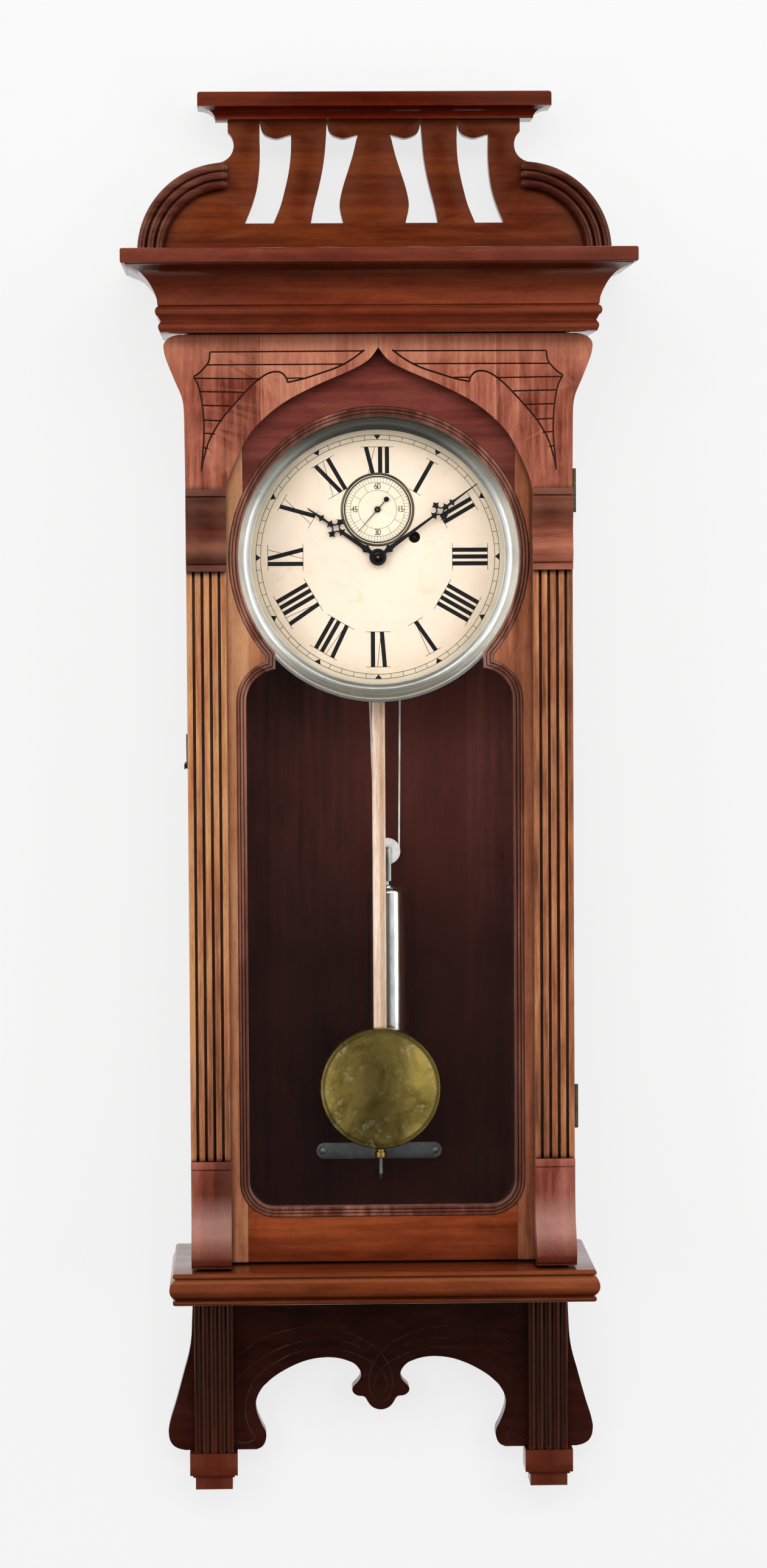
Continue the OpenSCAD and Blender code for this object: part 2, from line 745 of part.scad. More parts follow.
module door_hook() {
    pin_hole = hook_pin_r + 0.4;
    head_r = 5.5;
    arm_w = 5;
    color(brass) translate([-hook_side, -hook_d, hook_z]) rotate([-hook_up, 0, 0]) rotate([90, 0, -90])
        difference() {
        linear_extrude(hook_t) difference() {
            union() {
                circle(4, $fn = 48);
                translate([0, -arm_w / 2]) square([hook_reach, arm_w]);
                translate([hook_reach, 0]) circle(head_r, $fn = 48);
                translate([hook_reach + 2, 1.2]) rotate(20) square([10, 2.4]);
            }
            translate([hook_reach, 0]) circle(pin_hole, $fn = 48);
            polygon([[hook_reach - pin_hole, 0], [hook_reach + pin_hole, 0], [hook_reach + 3, -8],
                [hook_reach - 3.4, -8]]);
        }
        translate([0, 0, -1]) cylinder(hook_t + 2, 1.5 + play, 1.5 + play, $fn = 48);
    }
}

module catch_pin_shape(g) {
    translate([-hook_side - hook_t - 1.6, -hook_d - hook_reach, hook_z]) rotate([0, 90, 0])
        cylinder(13 + g, hook_pin_r + g, hook_pin_r + g, $fn = 48);
}

module catch_pin() {
    color(brass) {
        catch_pin_shape(0);
        translate([-hook_side - hook_t - 1.9, -hook_d - hook_reach, hook_z]) rotate([0, 90, 0])
            cylinder(1.4, 2.8, 2.8, $fn = 48);
    }
}

module hook_screw() {
    translate([-hook_side - hook_t - 1.5, -hook_d, hook_z]) rotate([0, 90, 0]) {
        cylinder(12, 1.5, 1.5, $fn = 48);
        cylinder(1.4, 3.2, 3.2, $fn = 48);
        translate([0, 0, hook_t + 1.6]) cylinder(hook_side - hw - 0.15, 3, 3, $fn = 48);
    }
}

module hook_screw_hole(g) {
    translate([-hook_side - 3, -hook_d, hook_z]) rotate([0, 90, 0])
        cylinder(13, 1.5 + g, 1.5 + g, $fn = 48);
}

/* Dial */

module dial_plate() {
    t = 2;
    color("#f0e7cf") difference() {
        rod(0, dial_z, dial_depth - t, dial_depth, dial_r, 160);
        rod(0, dial_z, dial_depth - t - 1, dial_depth + 1, pipe_r + 1.2);
        rod(0, seconds_z, dial_depth - t - 1, dial_depth + 1, 3);
        rod(wind_x, wind_z, dial_depth - t - 1, dial_depth + 1, 5.5);
    }
}

// Turned bezel: a narrow step on the dial, a broad cove and a thin flat flange.
bezel_front = case_depth - 7;

module dial_bezel() {
    rise = bezel_front - dial_depth;
    cove = dial_r - 1 - dial_show_r;
    color("#cfd2cf") turned(0, dial_z, dial_depth) polygon(concat(
        [[dial_r - 3, 0.1], [dial_show_r, 0.1], [dial_show_r, 2], [dial_show_r + 1.4, 2]],
        [for (a = [0:10:80]) [dial_show_r + 1.4 + cove * sin(a), 2 + (rise - 3) * (1 - cos(a))]],
        [[dial_r + 1, rise - 0.6], [dial_r + 2, rise], [bezel_r - 0.6, rise], [bezel_r, rise - 1.2],
         [bezel_r, rise - 3], [dial_r + 2.6, rise - 4.4], [dial_r + 0.8, -5], [dial_r + 0.2, -5],
             [dial_r + 0.2, 0.1]]));
}

module seconds_rim() {
    w = 2.4;
    color(steel) turned(0, seconds_z, dial_depth) polygon([[seconds_r - w, 0.05], [seconds_r, 0.05],
        [seconds_r, 0.7], [seconds_r - 0.6, 1.3], [seconds_r - w + 0.7, 1.3], [seconds_r - w, 0.7]]);
}

/* Wheels */

function inv(a) = tan(a) * 180 / PI - a;
// Half of the angle that a tooth takes up at the radius r.
function tooth_half(n, m, r) =
    let (rp = n * m / 2, rb = rp * cos(pressure), a = r > rb ? acos(rb / r) : 0)
    90 / n - tooth_play / 4 / rp * 180 / PI + inv(pressure) - inv(a);
function polar(r, a) = [r * cos(a), r * sin(a)];
function spun(q, a) = [q[0] * cos(a) - q[1] * sin(a), q[0] * sin(a) + q[1] * cos(a)];
function gear(n, m, tip, phase) =
    let (rp = n * m / 2, ra = rp + tip * m, rf = rp - tooth_root * m, rm = rp + 0.05 * m)
    [for (i = [0:n - 1]) let (a = phase + i * 360 / n)
        each [polar(rf, a - tooth_half(n, m, rf)), polar(rm, a - tooth_half(n, m, rm)),
            polar(ra, a - tooth_half(n, m, ra)), polar(ra, a + tooth_half(n, m, ra)),
            polar(rm, a + tooth_half(n, m, rm)), polar(rf, a + tooth_half(n, m, rf))]];

// A wheel with its rim crossed out to spokes.
module crossed(n, m, tip, phase, rim, hub, spokes, spoke_w) {
    inner = n * m / 2 - tooth_root * m - rim;
    difference() {
        polygon(gear(n, m, tip, phase));
        difference() {
            circle(inner, $fn = 72);
            circle(hub, $fn = 48);
            for (i = [0:spokes - 1]) rotate(i * 360 / spokes) translate([0, -spoke_w / 2])
                square([inner + 1, spoke_w]);
        }
    }
}

arbor_r = 1.5;
pivot_r = 0.8;
back_in = 22;
front_in = 60;
plate_back = back_in - plate_t;
plate_front = front_in + plate_t;

centre_great = (great_n + leaf_n) * great_m / 2;
wind_x = centre_great * cos(wind_angle);
wind_z = dial_z + centre_great * sin(wind_angle);

centre_third = (centre_n + leaf_n) * train_m / 2;
third_escape = (third_n + leaf_n) * train_m / 2;
third_up = (pow(seconds_rise, 2) + pow(centre_third, 2) - pow(third_escape, 2)) / (2 * seconds_rise);
third_x = -sqrt(centre_third * centre_third - third_up * third_up);
third_z = dial_z + third_up;
to_third = atan2(third_up, third_x);
third_to_escape = atan2(seconds_rise - third_up, -third_x);

cannon_n = 20;
minute_n = 60;
leaf2_n = 16;
hour_n = 64;
motion_x = (cannon_n + minute_n) * motion_m / 2;
pipe_r = 3.4;
minute_pipe_r = 2.4;

great_d = 48;
centre_d = 28;
third_d = 36;
escape_d = 53;
cannon_d = 79;
hour_d = 82;
hour_hand_d = dial_depth + 3;
minute_hand_d = dial_depth + 6.4;
seconds_hand_d = dial_depth + 1.9;

module centre_wheel() {
    color(brass) {
        at(0, dial_z, centre_d, 2) crossed(centre_n, train_m, wheel_tip, to_third, 2, 5, 4, 3);
        at(0, dial_z, great_d - 1.5, 5) polygon(gear(leaf_n, great_m, pinion_tip,
            wind_angle + 180 / leaf_n));
        rod(0, dial_z, back_in + 0.2, front_in - 0.2, arbor_r);
        rod(0, dial_z, plate_back, back_in + 1, pivot_r + 0.4);
        rod(0, dial_z, front_in - 1, minute_hand_d + 3.4, arbor_r);
    }
}

module cannon_pinion() {
    color(brass) difference() {
        union() {
            at(0, dial_z, cannon_d, 2.4) polygon(gear(cannon_n, motion_m, wheel_tip, 0));
            rod(0, dial_z, cannon_d, minute_hand_d + 0.9, minute_pipe_r);
        }
        rod(0, dial_z, cannon_d - 1, minute_hand_d + 2, arbor_r + 0.02);
    }
}

module third_wheel() {
    color(brass) {
        at(third_x, third_z, third_d, 2) crossed(third_n, train_m, wheel_tip, third_to_escape, 2, 4.5, 4,
            2.6);
        at(third_x, third_z, centre_d - 1.5, 5)
            polygon(gear(leaf_n, train_m, pinion_tip, to_third + 180 + 180 / leaf_n));
        rod(third_x, third_z, back_in + 0.2, front_in - 0.2, arbor_r);
        rod(third_x, third_z, plate_back, back_in + 1, pivot_r);
        rod(third_x, third_z, front_in - 1, plate_front, pivot_r);
    }
}

escape_n = 40;
escape_r = 16.4;
escape_root = 13.6;

// Undercut teeth with a straight leading face, for a dead beat.
module escape_wheel() {
    hub = 3.6;
    tooth = [polar(escape_root, -1.6), polar(escape_r, -0.5), polar(escape_r, 0.3), polar(escape_root, 4)];
    color(brass) {
        at(0, seconds_z, escape_d, 1.4) difference() {
            polygon([for (i = [0:escape_n - 1], q = tooth) spun(q, i * 360 / escape_n)]);
            difference() {
                circle(escape_root - 1.8, $fn = 72);
                circle(hub, $fn = 48);
                for (i = [0:3]) rotate(i * 90 + 45) translate([0, -1]) square([escape_r, 2]);
            }
        }
        at(0, seconds_z, third_d - 1.5, 5)
            polygon(gear(leaf_n, train_m, pinion_tip, third_to_escape + 180 + 180 / leaf_n));
        rod(0, seconds_z, back_in + 0.2, front_in - 0.2, arbor_r - 0.2);
        rod(0, seconds_z, plate_back, back_in + 1, pivot_r);
        rod(0, seconds_z, front_in - 1, seconds_hand_d + 0.7, pivot_r + 0.2);
    }
}

module minute_wheel() {
    color(brass) difference() {
        union() {
            at(motion_x, dial_z, cannon_d, 2)
                crossed(minute_n, motion_m, wheel_tip, 180 + 180 / minute_n, 2, 5, 4, 2.4);
            at(motion_x, dial_z, cannon_d + 1.9, 3.6)
                polygon(gear(leaf2_n, motion_m, wheel_tip, 180 + 180 / leaf2_n));
        }
        rod(motion_x, dial_z, cannon_d - 1, cannon_d + 8, 1.6 + play);
    }
}

module hour_wheel() {
    color(brass) difference() {
        union() {
            at(0, dial_z, hour_d, 2) crossed(hour_n, motion_m, wheel_tip, 0, 2, 5.4, 4, 2.6);
            rod(0, dial_z, hour_d, hour_hand_d + 0.9, pipe_r);
        }
        rod(0, dial_z, hour_d - 1, hour_hand_d + 2, minute_pipe_r + 0.08);
    }
}

/* Hands, drawn as if they pointed to 12 */

// A pierced cross: four pointed ends, round bites between them and a four pointed hole.
module cross_fret(y) {
    quarter = [[0, 10.8], [1.6, 8.7], [4.5, 7.4], [7.4, 4.5], [8.7, 1.6]];
    hole = [[0, 4], [1.75, 1.75]];
    translate([0, y]) difference() {
        polygon([for (a = [0:3], q = quarter) spun(q, -90 * a)]);
        for (a = [45:90:315]) rotate(a) translate([6.45, 0]) circle(2.7, $fn = 32);
        polygon([for (a = [0:3], q = hole) spun(q, -90 * a)]);
    }
}

// Hub, a neck with two spurs, an arm that narrows from w0 to w1, the cross, a knot and the point.
module hand(depth, angle, length, cross_y, knot_y, w0, w1, hole_r) {
    hub = 8.2;
    side = [[1.8, hub - 2], [1.9, 9.6], [2.6, 11.4], [4.3, 14.3], [w0 + 0.5, 16], [w0, 19],
        [w1, cross_y - 10],
        [w1, cross_y - 8]];
    knot = [[0.9, cross_y + 8.6], [1.3, knot_y - 2.2], [3.9, knot_y - 0.6], [1.5, knot_y + 1.2],
        [1.1, knot_y + 4], [0.45, length]];
    translate([0, -depth, dial_z]) rotate([90, 0, 0]) rotate(-angle) difference() {
        union() {
            cylinder(hand_t, hub, hub, $fn = 64);
            for (half = [side, knot])
                linear_extrude(hand_t) polygon(concat(half, [for (q = reversed(half)) [-q[0], q[1]]]));
            linear_extrude(hand_t) cross_fret(cross_y);
        }
        translate([0, 0, -1]) cylinder(hand_t + 2, hole_r, hole_r, $fn = 48);
    }
}

minute_angle = 53.9;
hour_angle = 305;
second_angle = 221.4;
hand_t = 0.9;

module minute_hand() {
    color(black) hand(minute_hand_d, minute_angle, 119, 74.2, 89, 2, 1.1, minute_pipe_r + 0.02);
}

// Domed steel collet that holds the minute hand on the end of the centre arbor.
module hand_nut() {
    r = 5.4;
    color(steel) difference() {
        turned(0, dial_z, minute_hand_d + hand_t + 0.05)
            polygon([[0, 0], [r, 0], [r, 0.5], [r - 0.8, 1.3], [r - 2.2, 1.7], [0, 1.7]]);
        rod(0, dial_z, minute_hand_d, minute_hand_d + 9, arbor_r + 0.02);
    }
}

module hour_hand() {
    color(black) hand(hour_hand_d, hour_angle, 82.6, 49, 66.5, 2.1, 1.8, pipe_r + 0.02);
}

module seconds_hand() {
    pointer = 28.6;
    t = 0.5;
    color(black) translate([0, -seconds_hand_d + t, seconds_z]) rotate([90, 0, 0]) rotate(-second_angle)
        difference() {
        union() {
            cylinder(t, 2.8, 2.8, $fn = 48);
            linear_extrude(t) polygon([[-0.45, 0], [-0.2, pointer], [0.2, pointer], [0.45, 0], [0.4, -12],
                [-0.4, -12]]);
            translate([0, -13, 0]) cylinder(t, 2.5, 2.5, $fn = 48);
        }
        translate([0, 0, -1]) cylinder(t + 2, pivot_r + 0.22, pivot_r + 0.22, $fn = 48);
    }
}

/* Great wheel, drum and click */

drum_back = 23.4;
drum_front = 45;
flange_r = 14;
ratchet_n = 24;
ratchet_r = 11.4;
ratchet_root = 9.4;
cord_r = cord_d / 2;
wind_r = drum_r + cord_r + 0.1;
square_w = 4.4;
square_front = dial_depth + 1.5;
drum_bore = 2.6;

module great_wheel() {
    color(brass) difference() {
        at(wind_x, wind_z, great_d, 2) difference() {
            crossed(great_n, great_m, wheel_tip, wind_angle + 180, 2.6, 18.5, 5, 4);
            circle(drum_bore + play, $fn = 48);
        }
        click_bore();
    }
}

click_x = wind_x;
click_z = wind_z + 16;

module click_bore() {
    rod(click_x, click_z, great_d - 3, great_d + 3, 1.1 + play);
}

// Drum with its flanges, ratchet and the squared winding arbor.
module drum() {
    color(brass) {
        rod(wind_x, wind_z, drum_back, drum_front + 1, drum_r, 72);
        for (d = [drum_back, drum_front]) rod(wind_x, wind_z, d, d + 1, flange_r, 72);
        at(wind_x, wind_z, drum_front + 1, 1.6)
            polygon([for (i = [0:ratchet_n - 1]) let (a = i * 360 / ratchet_n)
            each [polar(ratchet_root, a), polar(ratchet_r, a + 0.6), polar(ratchet_root + 0.2, a + 13.5)]]);
        rod(wind_x, wind_z, plate_back, drum_back + 1, 2);
        rod(wind_x, wind_z, drum_front, plate_front + 2, drum_bore);
        front(plate_front + 1, square_front - plate_front - 1) translate([wind_x, wind_z])
            square(square_w * 0.72, center = true);
    }
}

module click() {
    color(steel) {
        at(click_x, click_z, great_d - 1.7, 1.5) polygon(concat(arc(0, 0, 2.2, 0, 200, 8),
            [[-5.2, -3.6], [-6.6, -4.2], [-5.4, -4.1], [1.4, -1.7]]));
        rod(click_x, click_z, great_d - 0.3, great_d + 2.6, 1.1);
    }
}

/* Weight, pulley and cord */

bight_r = 11.6;
pulley_x = 9;
pulley_drop = 578;
pulley_z = top - pulley_drop;
sheave_r = bight_r - cord_r - 0.05;
weight_top = pulley_z - 32;

module pulley() {
    rim_r = bight_r + 1.2;
    side = cord_r + 0.5;
    color("#cfd0cc") difference() {
        turned(pulley_x, pulley_z, weight_depth) polygon(concat(
            [[0, -side - 1], [rim_r, -side - 1]], [[rim_r, -side]],
            arc(sheave_r + side, 0, side, 270, 90, 8),
            [[rim_r, side], [rim_r, side + 1], [0, side + 1]]));
        rod(pulley_x, pulley_z, weight_depth - 9, weight_depth + 9, 1.6 + play);
    }
}

// Polished cylinder with a domed cap, and the stirrup that holds the pulley pin.
module weight() {
    cap = 8;
    gap = cord_r + 1.9;
    strap_t = 1.4;
    strap_w = 7;
    color(brass) {
        translate([pulley_x, -weight_depth, 0]) rotate_extrude($fn = 120) polygon(concat(
            [[0, weight_top - weight_h], [weight_r - 2, weight_top - weight_h],
                [weight_r, weight_top - weight_h + 2]],
            [[weight_r, weight_top - cap]],
            [for (a = [0:15:90]) [2.5 + (weight_r - 2.5) * cos(a), weight_top - cap + cap * sin(a)]],
            [[2.5, weight_top + 4], [0, weight_top + 4]]));
        for (s = [-1, 1]) translate([pulley_x - strap_w / 2,
            -weight_depth - (s > 0 ? gap + strap_t : -gap), weight_top + 4])
            cube([strap_w, strap_t, pulley_z - weight_top]);
        translate([pulley_x - strap_w / 2, -weight_depth - gap - strap_t, weight_top + 3])
            cube([strap_w, 2 * (gap + strap_t), strap_t + 1]);
        rod(pulley_x, pulley_z, weight_depth - gap - strap_t - 0.6, weight_depth + gap + strap_t + 0.6,
            1.6);
    }
}

// Points of the cord: from the bracket down to the pulley, round it, and up to the drum.
left_top = [-10, dial_z - 44];
right_top = [wind_x - wind_r, wind_z];
left_low = [pulley_x - bight_r, pulley_z];
right_low = [pulley_x + bight_r, pulley_z];

// The cord lies on the drum in close turns and leaves it at the side towards the centre.
winding_turns = 4;
winding_pitch = cord_d + 0.5;
function winding_at(t) =
    let (a = 180 + 360 * t)
    [wind_x + wind_r * cos(a), -(weight_depth + winding_pitch * (t - winding_turns)),
        wind_z + wind_r * sin(a)];

// Sweeps a round tube along a list of points, with flat ends square to the route.
function unit(v) = v / norm(v);
function tube_ring(p, i, r, sides) =
    let (n = len(p), d = unit(p[min(i + 1, n - 1)] - p[max(i - 1, 0)]),
        u = unit(cross(d, abs(d[1]) < 0.9 ? [0, 1, 0] : [1, 0, 0])), w = cross(d, u))
    [for (k = [0:sides - 1]) p[i] + r * (u * cos(360 * k / sides) + w * sin(360 * k / sides))];

module tube(p, r, sides) {
    n = len(p);
    points = [for (i = [0:n - 1]) each tube_ring(p, i, r, sides)];
    walls = [for (i = [0:n - 2], k = [0:sides - 1]) let (a = i * sides + k, b = i * sides + (k + 1) % sides)
        each [[a, b, b + sides], [a, b + sides, a + sides]]];
    ends = [for (k = [1:sides - 2]) each [[0, k + 1, k],
        [(n - 1) * sides, (n - 1) * sides + k, (n - 1) * sides + k + 1]]];
    polyhedron(points, concat(walls, ends), convexity = 6);
}

winding_steps = 24;
winding_loops = [for (i = [0:winding_turns * winding_steps]) winding_at(i / winding_steps)];
// Both ends run straight for one diameter: the first along the drum, the last down to the pulley.
strand_way = unit([right_low[0] - right_top[0], 0, right_low[1] - right_top[1]]);
winding_end = winding_at(winding_turns) + cord_d * strand_way;
winding_route = concat([winding_at(0) + [0, 0, cord_d]], winding_loops, [winding_end]);
winding_gap = min([for (i = [0:winding_steps * (winding_turns - 1)])
    norm(winding_loops[i] - winding_loops[i + winding_steps])]) - cord_d;
echo(winding_gap = winding_gap);

module cord_winding() {
    color("#6b5a3c") tube(winding_route, cord_r, 6);
}

module strand(a, b) {
    n = 8;
    color("#6b5a3c") tube([for (i = [0:n]) [a[0] + (b[0] - a[0]) * i / n, -weight_depth,
        a[1] + (b[1] - a[1]) * i / n]],
        cord_r, 8);
}

module cord_left() {
    strand(left_top, left_low + [0, 0.1]);
}

module cord_right() {
    strand([winding_end[0], winding_end[2] - 0.1], right_low + [0, 0.1]);
}

module cord_bight() {
    steps = 20;
    color("#6b5a3c") tube([for (i = [0:steps]) let (a = 180 + 180 * i / steps)
        [pulley_x + bight_r * cos(a), -weight_depth, pulley_z + bight_r * sin(a)]], cord_r, 8);
}

/* Plates and bracket */

plate_x0 = -44;
plate_x1 = 80;
plate_z0 = dial_z - 38;
plate_z1 = dial_z + 88;
pillar_at = [for (x = [plate_x0 + 7, plate_x1 - 7], z = [plate_z0 + 7, plate_z1 - 7]) [x, z]];
post_at = [for (x = [plate_x0 + 18, plate_x1 - 18], z = [plate_z0 + 8, plate_z1 - 8]) [x, z]];
pillar_r = 4;
post_r = 3;

module plate_holes(depth, centre_r, wind_r0) {
    for (h = [[0, dial_z, centre_r], [wind_x, wind_z, wind_r0], [third_x, third_z, pivot_r],
        [0, seconds_z, pivot_r + 0.2], [0, anchor_z, pivot_r]])
        rod(h[0], h[1], depth - 1, depth + plate_t + 1, h[2] + play);
}

module back_plate() {
    color(brass) difference() {
        block(plate_x0, plate_x1, plate_back, back_in, plate_z0, plate_z1);
        plate_holes(plate_back, pivot_r + 0.4, 2);
    }
}

module front_plate() {
    color(brass) difference() {
        block(plate_x0, plate_x1, front_in, plate_front, plate_z0, plate_z1);
        plate_holes(front_in, arbor_r, drum_bore);
    }
}

// Turned pillars between the plates, the posts of the dial and the stud of the minute wheel.
module pillars() {
    color(brass) {
        for (p = pillar_at) turned(p[0], p[1], back_in)
            polygon([[0, 0], [pillar_r + 1, 0], [pillar_r + 1, 3],
            [pillar_r - 0.8, 6], [pillar_r - 0.8, front_in - back_in - 6],
                [pillar_r + 1, front_in - back_in - 3],
            [pillar_r + 1, front_in - back_in], [0, front_in - back_in]]);
        for (p = post_at) rod(p[0], p[1], plate_front, dial_depth - 2, post_r);
        rod(motion_x, dial_z, plate_front, cannon_d - 0.3, 2.6);
        rod(motion_x, dial_z, plate_front, cannon_d + 6, 1.6);
    }
}

bracket_t = 4;
module movement_bracket() {
    boss_r = 5;
    margin = 12;
    hook_h = 6;
    color("#2b2a29") difference() {
        union() {
            difference() {
                block(plate_x0, plate_x1, back_t, back_t + bracket_t, plate_z0, plate_z1);
                block(plate_x0 + margin, plate_x1 - margin, back_t - 1, back_t + bracket_t + 1,
                    plate_z0 + margin, plate_z1 - margin);
            }
            for (p = pillar_at) rod(p[0], p[1], back_t + 1, plate_back, boss_r);
            block(left_top[0] - 6, left_top[0] + 6, back_t, back_t + bracket_t, left_top[1] - 4,
                plate_z0 + 1);
            block(left_top[0] - 4, left_top[0] + 4, back_t, weight_depth + 5, left_top[1] + 0.3,
                left_top[1] + hook_h);
        }
        translate([left_top[0], -weight_depth, left_top[1] - 1])
            cylinder(hook_h + 2, cord_r + 0.1, cord_r + 0.1, $fn = 32);
    }
}

/* Anchor and pendulum */

// Cock with a slit for the suspension spring, on the front of the movement.
module suspension_cock() {
    low = anchor_z + 4;
    slit = 0.7;
    color(brass) difference() {
        union() {
            block(-11, 11, plate_front, plate_front + 3, low, plate_z1 - 1);
            block(-8, 8, plate_front, pendulum_depth + 7, low, low + 9);
        }
        block(-slit, slit, pendulum_depth - 5.6, pendulum_depth + 8, low - 1, low + 5);
    }
}

// Dead beat anchor: two curved arms with locking faces that stand clear of the teeth.
module anchor() {
    nose = escape_r + 1.2;
    span = 43;
    arm = [for (a = [90 - span, 90 + span]) polar(nose, a)];
    drop = -anchor_rise;
    color(steel) {
        at(0, anchor_z, escape_d - 0.3, 2) difference() {
            union() {
                circle(4, $fn = 48);
                for (s = [-1, 1]) polygon(concat(
                    [[s, 3.2], [s * 8, 0.5], [s * 14.6, drop + nose * cos(span) + 3.6],
                        [s * (arm[0][0] + 3.4), drop + arm[0][1] + 0.8],
                     [s * arm[0][0], drop + arm[0][1]], [s * (arm[0][0] - 0.8), drop + arm[0][1] + 4.4],
                         [s * 5, -3.4], [0, -2.4]]));
            }
        }
        rod(0, anchor_z, back_in + 0.2, front_in - 0.2, 1.4);
        rod(0, anchor_z, plate_back, back_in + 1, pivot_r);
        rod(0, anchor_z, front_in - 1, plate_front + 2.4, pivot_r);
        front(plate_front + 1, 1.4) translate([0, anchor_z]) union() {
            circle(2.4, $fn = 32);
            translate([-1.4, -15]) square([2.8, 15]);
        }
        rod(0, anchor_z - 13.4, plate_front + 1, pendulum_depth + 5, 1);
    }
}

stirrup_in = 6.9;
stirrup_w = 2.4;
stirrup_top = anchor_z - 6;
stirrup_low = dial_z - 24;
stick_top = stirrup_low - 4;
stick_low = bob_z - bob_r + 7;
rating_r = 2;
rating_low = bob_z - bob_r - 25;

module pendulum_stick() {
    color("#b98a4e") block(-stick_w / 2, stick_w / 2, pendulum_depth - stick_t / 2,
        pendulum_depth + stick_t / 2,
        stick_low, stick_top);
}

// Suspension spring, the steel stirrup round both arbors, its socket, and the threaded rating rod.
module pendulum_fittings() {
    spring_w = 9;
    spring_t = 0.3;
    half = 2;
    d0 = pendulum_depth - half;
    d1 = pendulum_depth + half;
    wide = stirrup_in + stirrup_w;
    color(steel) {
        block(-spring_t / 2, spring_t / 2, pendulum_depth - spring_w / 2, pendulum_depth + spring_w / 2,
            stirrup_top, anchor_z + 6);
        difference() {
            block(-wide, wide, d0, d1, stirrup_low - 4, stirrup_top);
            block(-stirrup_in, stirrup_in, d0 - 1, d1 + 1, stirrup_low + 4, stirrup_top - 11);
            rod(0, anchor_z - 13.4, d0 - 1, d1 + 1, 1.2);
        }
        difference() {
            block(-stick_w / 2 - 1.2, stick_w / 2 + 1.2, pendulum_depth - stick_t / 2 - 1.2,
                pendulum_depth + stick_t / 2 + 1.2,
                stick_top - 16, stick_top + 1);
            block(-stick_w / 2 - 0.05, stick_w / 2 + 0.05, pendulum_depth - stick_t / 2 - 0.05,
                pendulum_depth + stick_t / 2 + 0.05, stick_top - 17, stick_top + 0.05);
        }
        translate([0, -pendulum_depth, rating_low])
            cylinder(stick_low - rating_low - 0.05, rating_r, rating_r, $fn = 48);
        translate([0, -pendulum_depth, rating_low - 5]) cylinder(5.2, 0.6, rating_r, $fn = 48);
    }
}

// Brass bob: a flat lens with a raised rim, and a channel for the stick behind its face.
module bob() {
    h = bob_t / 2;
    rim = 3;
    color(brass) difference() {
        turned(0, bob_z, pendulum_depth) polygon(concat(
            [[0, -h]],
            [for (i = [1:7]) let (r = i / 7 * (bob_r - rim)) [r, -h + 5.6 * pow(i / 7, 2)]],
            [[bob_r - 1, -h + 5], [bob_r, -h + 6.4], [bob_r, h - 6.4], [bob_r - 1, h - 5]],
            [for (i = [7:-1:1]) let (r = i / 7 * (bob_r - rim)) [r, h - 5.6 * pow(i / 7, 2)]],
            [[0, h]]));
        block(-stick_w / 2 - 0.1, stick_w / 2 + 0.1, pendulum_depth - stick_t / 2 - 0.1,
            pendulum_depth + stick_t / 2 + 0.1,
            bob_z - bob_r - 9, bob_z + bob_r + 9);
    }
}

module rating_nut() {
    h = 8;
    r = 6;
    z1 = bob_z - bob_r - 0.9;
    color(brass) difference() {
        translate([0, -pendulum_depth, 0]) rotate_extrude($fn = 64)
            polygon([[0, z1 - h], [r - 0.6, z1 - h], [r, z1 - h + 0.6],
            [r, z1 - 2.6], [r - 1.4, z1 - 2], [r - 1.4, z1], [0, z1]]);
        translate([0, -pendulum_depth, z1 - h - 1])
            cylinder(h + 2, rating_r + play, rating_r + play, $fn = 48);
    }
}

/* Beat plate and screws */

beat_z = ledge_top + 92.7;
beat_screws = [-55.6, 55.6];
beat_screw_r = 1.5;

module beat_plate() {
    r = 8;
    half = 62;
    t = 1.5;
    color("#2c3442") difference() {
        front(back_t, t) translate([0, beat_z]) union() {
            for (s = [-1, 1]) translate([s * (half - r), 0]) circle(r, $fn = 48);
            square([2 * (half - r), 2 * r], center = true);
        }
        for (x = beat_screws) rod(x, beat_z, back_t - 1, back_t + 3, beat_screw_r + play);
    }
}

module screws() {
    color(steel) {
        for (x = beat_screws) screw(x, beat_z, back_t + 1.55, beat_screw_r, 3.2, 7, 1.4);
        for (z = hanger_screws) hanger_screw(z, 0);
        hook_screw();
    }
}

back_board();
side_boards();
top_board();
hanger_plate();
cornice_slab();
cornice_moulding();
crest_board();
crest_arches();
crest_cap();
ledge();
apron_board();
apron_pilasters();
movement_bracket();
back_plate();
front_plate();
pillars();
dial_plate();
dial_bezel();
seconds_rim();
suspension_cock();
beat_plate();
screws();
case_hinges();
door_stiles();
door_top_rail();
door_bottom_rail();
opening_moulding();
door_glass();
glass_strips();
spandrels();
capitals();
door_pilasters();
foot_blocks();
door_hinges();
catch_pin();
door_hook();
centre_wheel();
cannon_pinion();
minute_hand();
hand_nut();
third_wheel();
escape_wheel();
seconds_hand();
minute_wheel();
hour_wheel();
hour_hand();
great_wheel();
drum();
cord_winding();
click();
anchor();
pendulum_stick();
pendulum_fittings();
bob();
rating_nut();
weight();
pulley();
cord_left();
cord_right();
cord_bight();
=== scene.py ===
from math import atan2, cos, hypot, pi, radians, sin

import bpy
from mathutils import Matrix, Vector


